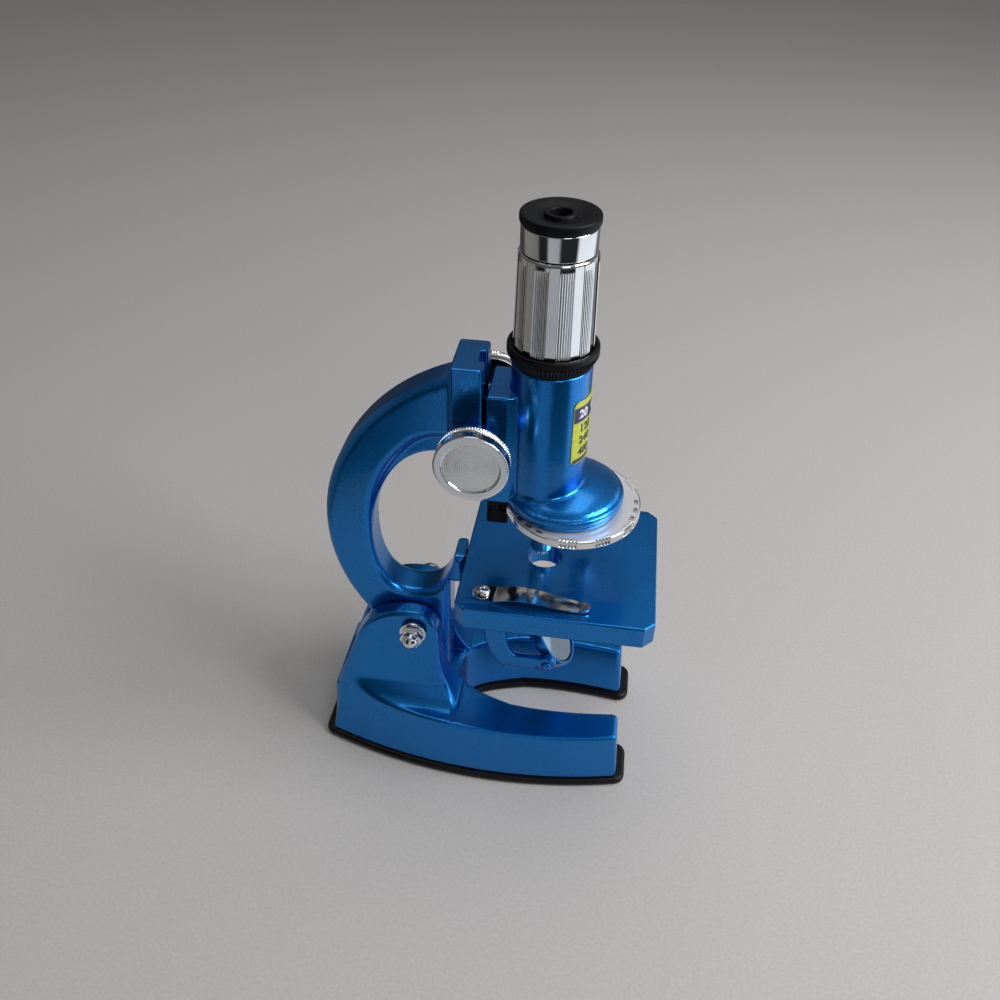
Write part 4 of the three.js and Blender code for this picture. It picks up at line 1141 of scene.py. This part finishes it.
def flat_patch(name, half_width, low, high, corner, thick):
    """A rounded rectangle of some thickness, cut finely enough to be bent."""
    outline = arc(half_width - corner, high - corner, corner, 90, 0, 15)
    outline += arc(half_width - corner, low + corner, corner, 0, -90, 15)
    right = sorted(outline, key=lambda p: -p[1])
    levels = sorted({round(p[1], 4) for p in right} | {round(v, 4) for v in np.linspace(low, high, 9)})
    edge = np.interp(levels, [p[1] for p in right[::-1]], [p[0] for p in right[::-1]])
    columns = 41
    across = np.linspace(-1, 1, columns)
    top = [(w * a, v, thick) for v, w in zip(levels, edge) for a in across]
    bottom = [(x, y, 0.0) for x, y, _ in top]
    rows = len(levels)
    count = rows * columns
    faces = []
    for i in range(rows - 1):
        for j in range(columns - 1):
            a = i * columns + j
            faces.append((a, a + 1, a + 1 + columns, a + columns))
            faces.append((count + a, count + a + columns, count + a + 1 + columns, count + a + 1))
        left = i * columns
        end = left + columns - 1
        faces.append((left, left + columns, count + left + columns, count + left))
        faces.append((end, count + end, count + end + columns, end + columns))
    for j in range(columns - 1):
        last = (rows - 1) * columns + j
        faces.append((j, count + j, count + j + 1, j + 1))
        faces.append((last, last + 1, count + last + 1, count + last))
    mesh = bpy.data.meshes.new(name)
    mesh.from_pydata(top + bottom, [], faces)
    return mesh


def digits_mesh(name, text, size, thick=0.06):
    """The digits as a thin mesh in millimetres, centred on (0, 0)."""
    curve = bpy.data.curves.new(name, "FONT")
    curve.body = text
    curve.size = size
    curve.align_x = "CENTER"
    curve.align_y = "CENTER"
    curve.extrude = thick / 2
    curve.offset = 0.035 * size
    curve.resolution_u = 4
    holder = bpy.data.objects.new(name, curve)
    bpy.context.scene.collection.objects.link(holder)
    bpy.context.view_layer.update()
    graph = bpy.context.evaluated_depsgraph_get()
    mesh = bpy.data.meshes.new_from_object(holder.evaluated_get(graph))
    bpy.data.objects.remove(holder)
    return mesh


LABEL_HALF_TURN = 50
LABEL_LOW, LABEL_HIGH = 128.3, 150.3


def build_label():
    radius = TUBE_RADIUS + 0.05
    half = radius * math.radians(LABEL_HALF_TURN)
    layers = [
        ("label_film", half, LABEL_LOW, LABEL_HIGH, 1.8, 0.22, INK_YELLOW, ["label_plate"]),
        ("label_band", half - 0.15, 143.2, 148.4, 0.3, 0.25, INK_PURPLE, []),
        ("label_foot", half - 0.5, LABEL_LOW + 0.2, 130.0, 0.7, 0.25, INK_GREEN, []),
    ]
    for name, width, low, high, corner, thick, ink, nodes in layers:
        mesh = wrapped(flat_patch(name, width, low, high, corner, thick), radius)
        mesh.shade_smooth()
        mesh.set_sharp_from_angle(angle=math.radians(40))
        new_object(name, mesh, "carriage", ink, nodes)
    rows = [("120", 140.6), ("240", 136.4), ("480", 132.2)]
    for text, height in rows:
        for column, azimuth in enumerate((-24, 22)):
            mesh = digits_mesh("digits", text, 3.9)
            wrapped(mesh, radius + 0.25, math.radians(azimuth), height)
            new_object(
                f"label_number_{text}_{column}", mesh, "carriage", INK_BLACK, [],
            )
    for column, (text, azimuth) in enumerate((("20", -31), ("40", 0), ("80", 31))):
        mesh = digits_mesh("digits", text, 3.9)
        wrapped(mesh, radius + 0.27, math.radians(azimuth), 145.8)
        new_object(
            f"label_band_number_{column}", mesh, "carriage", INK_WHITE, [],
        )


def build_turret_numbers():
    """The magnification that each third of the turret sets, printed on its top."""
    for third, text in enumerate(("120", "240", "480")):
        for copy in range(3):
            middle = math.radians(120 * third + 12 * copy - 20)
            mesh = digits_mesh("digits", text, 1.7, 0.05)
            turn = Matrix.Rotation(middle + TAU / 4, 4, "Z")
            reach = DISC[0][1] - TURRET_X - 1.45
            place = standing(TURRET_X + reach * math.cos(middle), reach * math.sin(middle), DISC[2][1])
            mesh.transform(place @ Matrix.Diagonal((MM, MM, MM, 1)) @ turn)
            name = f"turret_number_{text}_{copy}"
            new_object(name, mesh, "turret", INK_BLACK, [])


# ---------- eyepiece ----------


def build_collar():
    low, high, radius, seat, seat_radius = 159.2, 165, 13.5, 163.8, 12.3

    def knurl(angle, r, h):
        band = np.clip((h - low - 0.35) / 0.3, 0, 1) * np.clip((low + 4.0 - h) / 0.3, 0, 1)
        ridge = 0.5 + 0.5 * np.cos(angle * 72)
        return r - 0.45 * ridge * band * (r > radius - 1.8)

    profile = [(10, low), (radius - 1.9, low)]
    profile += bezier((radius - 1.7, low), (radius - 1.4, low), (radius - 1.35, low + 0.3), count=4)
    profile += [(radius - 1.3 + 1.05 * t, low + 0.4 + 2 * t) for t in np.linspace(0, 1, 7)]
    profile += [(radius, h) for h in np.linspace(low + 2.9, low + 4.3, 7)]
    profile += bezier((radius, high - 0.9), (radius, high), (radius - 0.6, high), count=6)
    profile += [(seat_radius + 0.25, high), (seat_radius, high - 0.25), (seat_radius, seat)]
    profile += [(10, seat)]
    turned(
        "collar_ring", profile, standing(TUBE_X, 0), "carriage", "black_plastic",
        ["tube_collar"], 768, knurl,
    )


def build_zoom_grip():
    low, high, low_radius, high_radius, bore = 164.4, 192.7, 11.8, 11.2, 10
    panels, ribbed, ribs = 10, 21.0, 6

    def panelled(angle, r, h):
        period = 360 / panels
        offset = (np.degrees(angle) + period / 2) % period - period / 2
        edge = ribbed / 2
        inside = np.abs(offset) < edge
        ridge = 0.5 - 0.5 * np.cos(offset / ribbed * TAU * ribs)
        # A plain panel is a flat between the shoulders of its ribbed neighbours.
        plain_half = period / 2 - edge
        from_middle = period / 2 - np.abs(offset)
        flat = math.cos(math.radians(plain_half)) / np.cos(np.radians(from_middle))
        fade = np.clip((h - low - 0.5) / 0.6, 0, 1) * np.clip((high - 1.9 - h) / 0.5, 0, 1)
        shaped = np.where(inside, r - 0.16 * ridge * fade, (r - 0.22) * flat)
        return np.where(r > bore + 0.75, shaped, r)

    wall = [(low_radius - 0.7, low), (low_radius, low + 0.7)]
    heights = np.linspace(low + 1.1, high - 2.4, 12)
    taper = (low_radius - high_radius) / (high - low)
    wall += [(low_radius - taper * (h - low), h) for h in heights]
    wall += bezier((high_radius + 0.05, high - 2), (high_radius, high - 0.2), (high_radius - 0.55, high))
    profile = [(bore, low + 0.2), (bore + 0.2, low)] + wall + [(bore + 0.2, high), (bore, high - 0.2)]
    turned(
        "zoom_sleeve", profile, standing(TUBE_X, 0), "zoom", "chrome", ["zoom_grip"],
        1080, panelled,
    )


def build_ocular():
    ring, outer, inner, low, ring_low, high = 10.6, 8.6, 7.6, 161, 193, 200.1
    profile = [(inner, low), (outer, low), (outer, ring_low), (ring, ring_low), (ring, high)]
    profile += [(inner, high)]
    turned(
        "ocular_barrel", rounded(profile, 0.35, 5), standing(TUBE_X, 0), "ocular", "chrome",
        ["ocular_tube"], 128,
    )
    base, top, radius = 200.4, 203.1, 11.06
    cup = [(3, base), (radius - 0.6, base)]
    cup += bezier((radius - 0.6, base), (radius, base + 0.1), (radius, base + 0.8), count=5)
    cup += bezier((radius, top - 0.8), (radius, top), (radius - 0.9, top), count=6)
    cup += bezier((radius - 1.4, top - 0.05), (7.5, top - 0.35), (6, top - 1.15), (4.75, top - 1.3))
    cup += bezier((4.6, top - 1.2), (4.5, top - 0.1), (4.2, top), count=5)
    cup += bezier((3.5, top), (3, top), (3, top - 0.6), count=5)
    turned(
        "eyecup_ring", cleaned(cup), standing(TUBE_X, 0), "ocular", "black_plastic",
        ["eyecup"], 128,
    )


# ---------- carried-over CAD pieces ----------


def finish_cad_nodes():
    slots = {row["node"]: row["material_slot"] for row in frame["record"]["subparts"]}
    for name, node in frame["nodes"].items():
        node.data.materials.clear()
        node.data.materials.append(SLOT_MATERIALS[slots[name]])


# ---------- stage set ----------


def area_light(name, place, aim, size, power, colour=(1, 1, 1)):
    light = bpy.data.lights.new(name, "AREA")
    light.shape = "RECTANGLE"
    light.size, light.size_y = size
    light.energy = power
    light.color = colour
    holder = bpy.data.objects.new(name, light)
    holder.location = place
    holder.rotation_euler = (Vector(aim) - Vector(place)).to_track_quat("-Z", "Y").to_euler()
    bpy.context.scene.collection.objects.link(holder)


def build_floor():
    mesh = bpy.data.meshes.new("floor")
    half = 3.0
    corners = [(-half, -half, 0), (half, -half, 0), (half, half, 0), (-half, half, 0)]
    mesh.from_pydata(corners, [], [(0, 1, 2, 3)])
    mesh.materials.append(floor_material())
    floor = bpy.data.objects.new("floor", mesh)
    bpy.context.scene.collection.objects.link(floor)


# What the upright chrome mirrors: (degrees about +Z from -180 to 180, brightness, colour).
COOL, WARM = (0.94, 1.0, 1.08), (1.05, 1.0, 0.92)
SURROUND = [
    (-180, 0.20, WARM), (-150, 0.17, WARM), (-141, 0.015, COOL), (-121, 0.015, COOL),
    (-113, 0.40, COOL), (-87, 0.36, COOL), (-79, 0.02, COOL), (-35, 0.02, COOL),
    (-26, 0.95, COOL), (34, 1.0, COOL), (48, 0.16, COOL), (96, 0.18, COOL),
    (118, 0.05, COOL), (150, 0.05, WARM), (166, 0.20, WARM), (180, 0.20, WARM),
]
SURROUND_RADIUS, SURROUND_LOW, SURROUND_HIGH = 150, 30, 185


def build_surround():
    """A studio screen that only mirrors see: it stripes the upright chrome, light and dark."""
    rim = arc(0, 0, SURROUND_RADIUS, 0, 360, 6)[:-1]
    count = len(rim)
    corners = [(x, y, z) for z in (SURROUND_LOW, SURROUND_HIGH) for x, y in rim]
    faces = [(i, (i + 1) % count, count + (i + 1) % count, count + i) for i in range(count)]
    glow = Network("surround")
    glow.set(Base_Color=(0, 0, 0, 1), Specular_IOR_Level=0, Emission_Strength=1)
    turn = glow.add("ShaderNodeTexGradient", gradient_type="RADIAL")
    glow.link(glow.where, turn.inputs["Vector"])
    stops = [
        ((angle + 180) / 360, tuple(value * part for part in tint))
        for angle, value, tint in SURROUND
    ]
    shade = glow.ramp(turn.outputs["Fac"], *stops)
    glow.link(shade, glow.shader.inputs["Emission Color"])
    mesh = mesh_from("surround", corners, faces)
    mesh.materials.append(glow.material)
    screen = bpy.data.objects.new("surround", mesh)
    screen.location = (TUBE_X * MM, 0, 0)
    bpy.context.scene.collection.objects.link(screen)
    screen.visible_camera = False
    screen.visible_diffuse = False
    screen.visible_shadow = False
    screen.visible_transmission = False


def build_lights():
    aim = (0.0, 0.0, 0.1)
    area_light("key", (0.85, -0.12, 0.72), aim, (0.6, 0.5), 11, (1.0, 1.0, 1.02))
    area_light("window", (0.5, -0.9, 0.75), aim, (0.4, 0.4), 2.2, (0.94, 0.97, 1.0))
    area_light("top", (0.0, 0.35, 1.2), aim, (0.9, 0.7), 3.4, (1.0, 0.99, 0.97))


def build_world():
    """Soft studio sky: brightest overhead and a little to the right, dark low down."""
    world = bpy.data.worlds.new("studio")
    world.use_nodes = True
    tree = world.node_tree
    where = tree.nodes.new("ShaderNodeTexCoord")
    facing = tree.nodes.new("ShaderNodeVectorMath")
    facing.operation = "DOT_PRODUCT"
    facing.inputs[1].default_value = Vector((0.35, 0.20, 0.92)).normalized()
    ramp = tree.nodes.new("ShaderNodeValToRGB")
    stops = [(0.0, 0.05), (0.50, 0.09), (0.75, 0.15), (0.88, 0.24), (1.0, 0.34)]
    elements = ramp.color_ramp.elements
    while len(elements) < len(stops):
        elements.new(0.5)
    for element, (position, value) in zip(elements, stops):
        element.position = position
        element.color = (value, value, value * 1.03, 1)
    half = tree.nodes.new("ShaderNodeMapRange")
    half.inputs["From Min"].default_value = -1
    tree.links.new(where.outputs["Generated"], facing.inputs[0])
    tree.links.new(facing.outputs["Value"], half.inputs["Value"])
    tree.links.new(half.outputs["Result"], ramp.inputs["Fac"])
    tree.links.new(ramp.outputs["Color"], tree.nodes["Background"].inputs["Color"])
    bpy.context.scene.world = world


CAMERA_MM = (35.49, -239.17, 294.25)
CAMERA_YAW, CAMERA_DOWN, CAMERA_ROLL = -7.39, 38.09, 1.24
CAMERA_LENS = 33.66


def build_camera():
    yaw, down, roll = (math.radians(a) for a in (CAMERA_YAW, CAMERA_DOWN, CAMERA_ROLL))
    ahead = Vector((math.sin(yaw) * math.cos(down), math.cos(yaw) * math.cos(down), -math.sin(down)))
    right = Vector((math.cos(yaw), -math.sin(yaw), 0))
    up = right.cross(ahead)
    right_rolled = math.cos(roll) * right + math.sin(roll) * up
    up_rolled = math.cos(roll) * up - math.sin(roll) * right
    data = bpy.data.cameras.new("camera")
    data.lens = CAMERA_LENS
    data.sensor_width = 36
    data.clip_start = 0.005
    camera = bpy.data.objects.new("camera", data)
    turn = Matrix((right_rolled, up_rolled, -ahead)).transposed().to_4x4()
    camera.matrix_world = Matrix.Translation(Vector(CAMERA_MM) * MM) @ turn
    bpy.context.scene.collection.objects.link(camera)
    bpy.context.scene.camera = camera


build_camera()
build_world()
build_floor()
build_surround()
build_lights()
finish_cad_nodes()
build_foot()
build_pivot()
build_arm()
build_stage()
build_mirror()
build_knobs()
build_tube()
build_turret()
build_turret_numbers()
build_label()
build_collar()
build_zoom_grip()
build_ocular()
bpy.context.scene.view_settings.view_transform = "Standard"
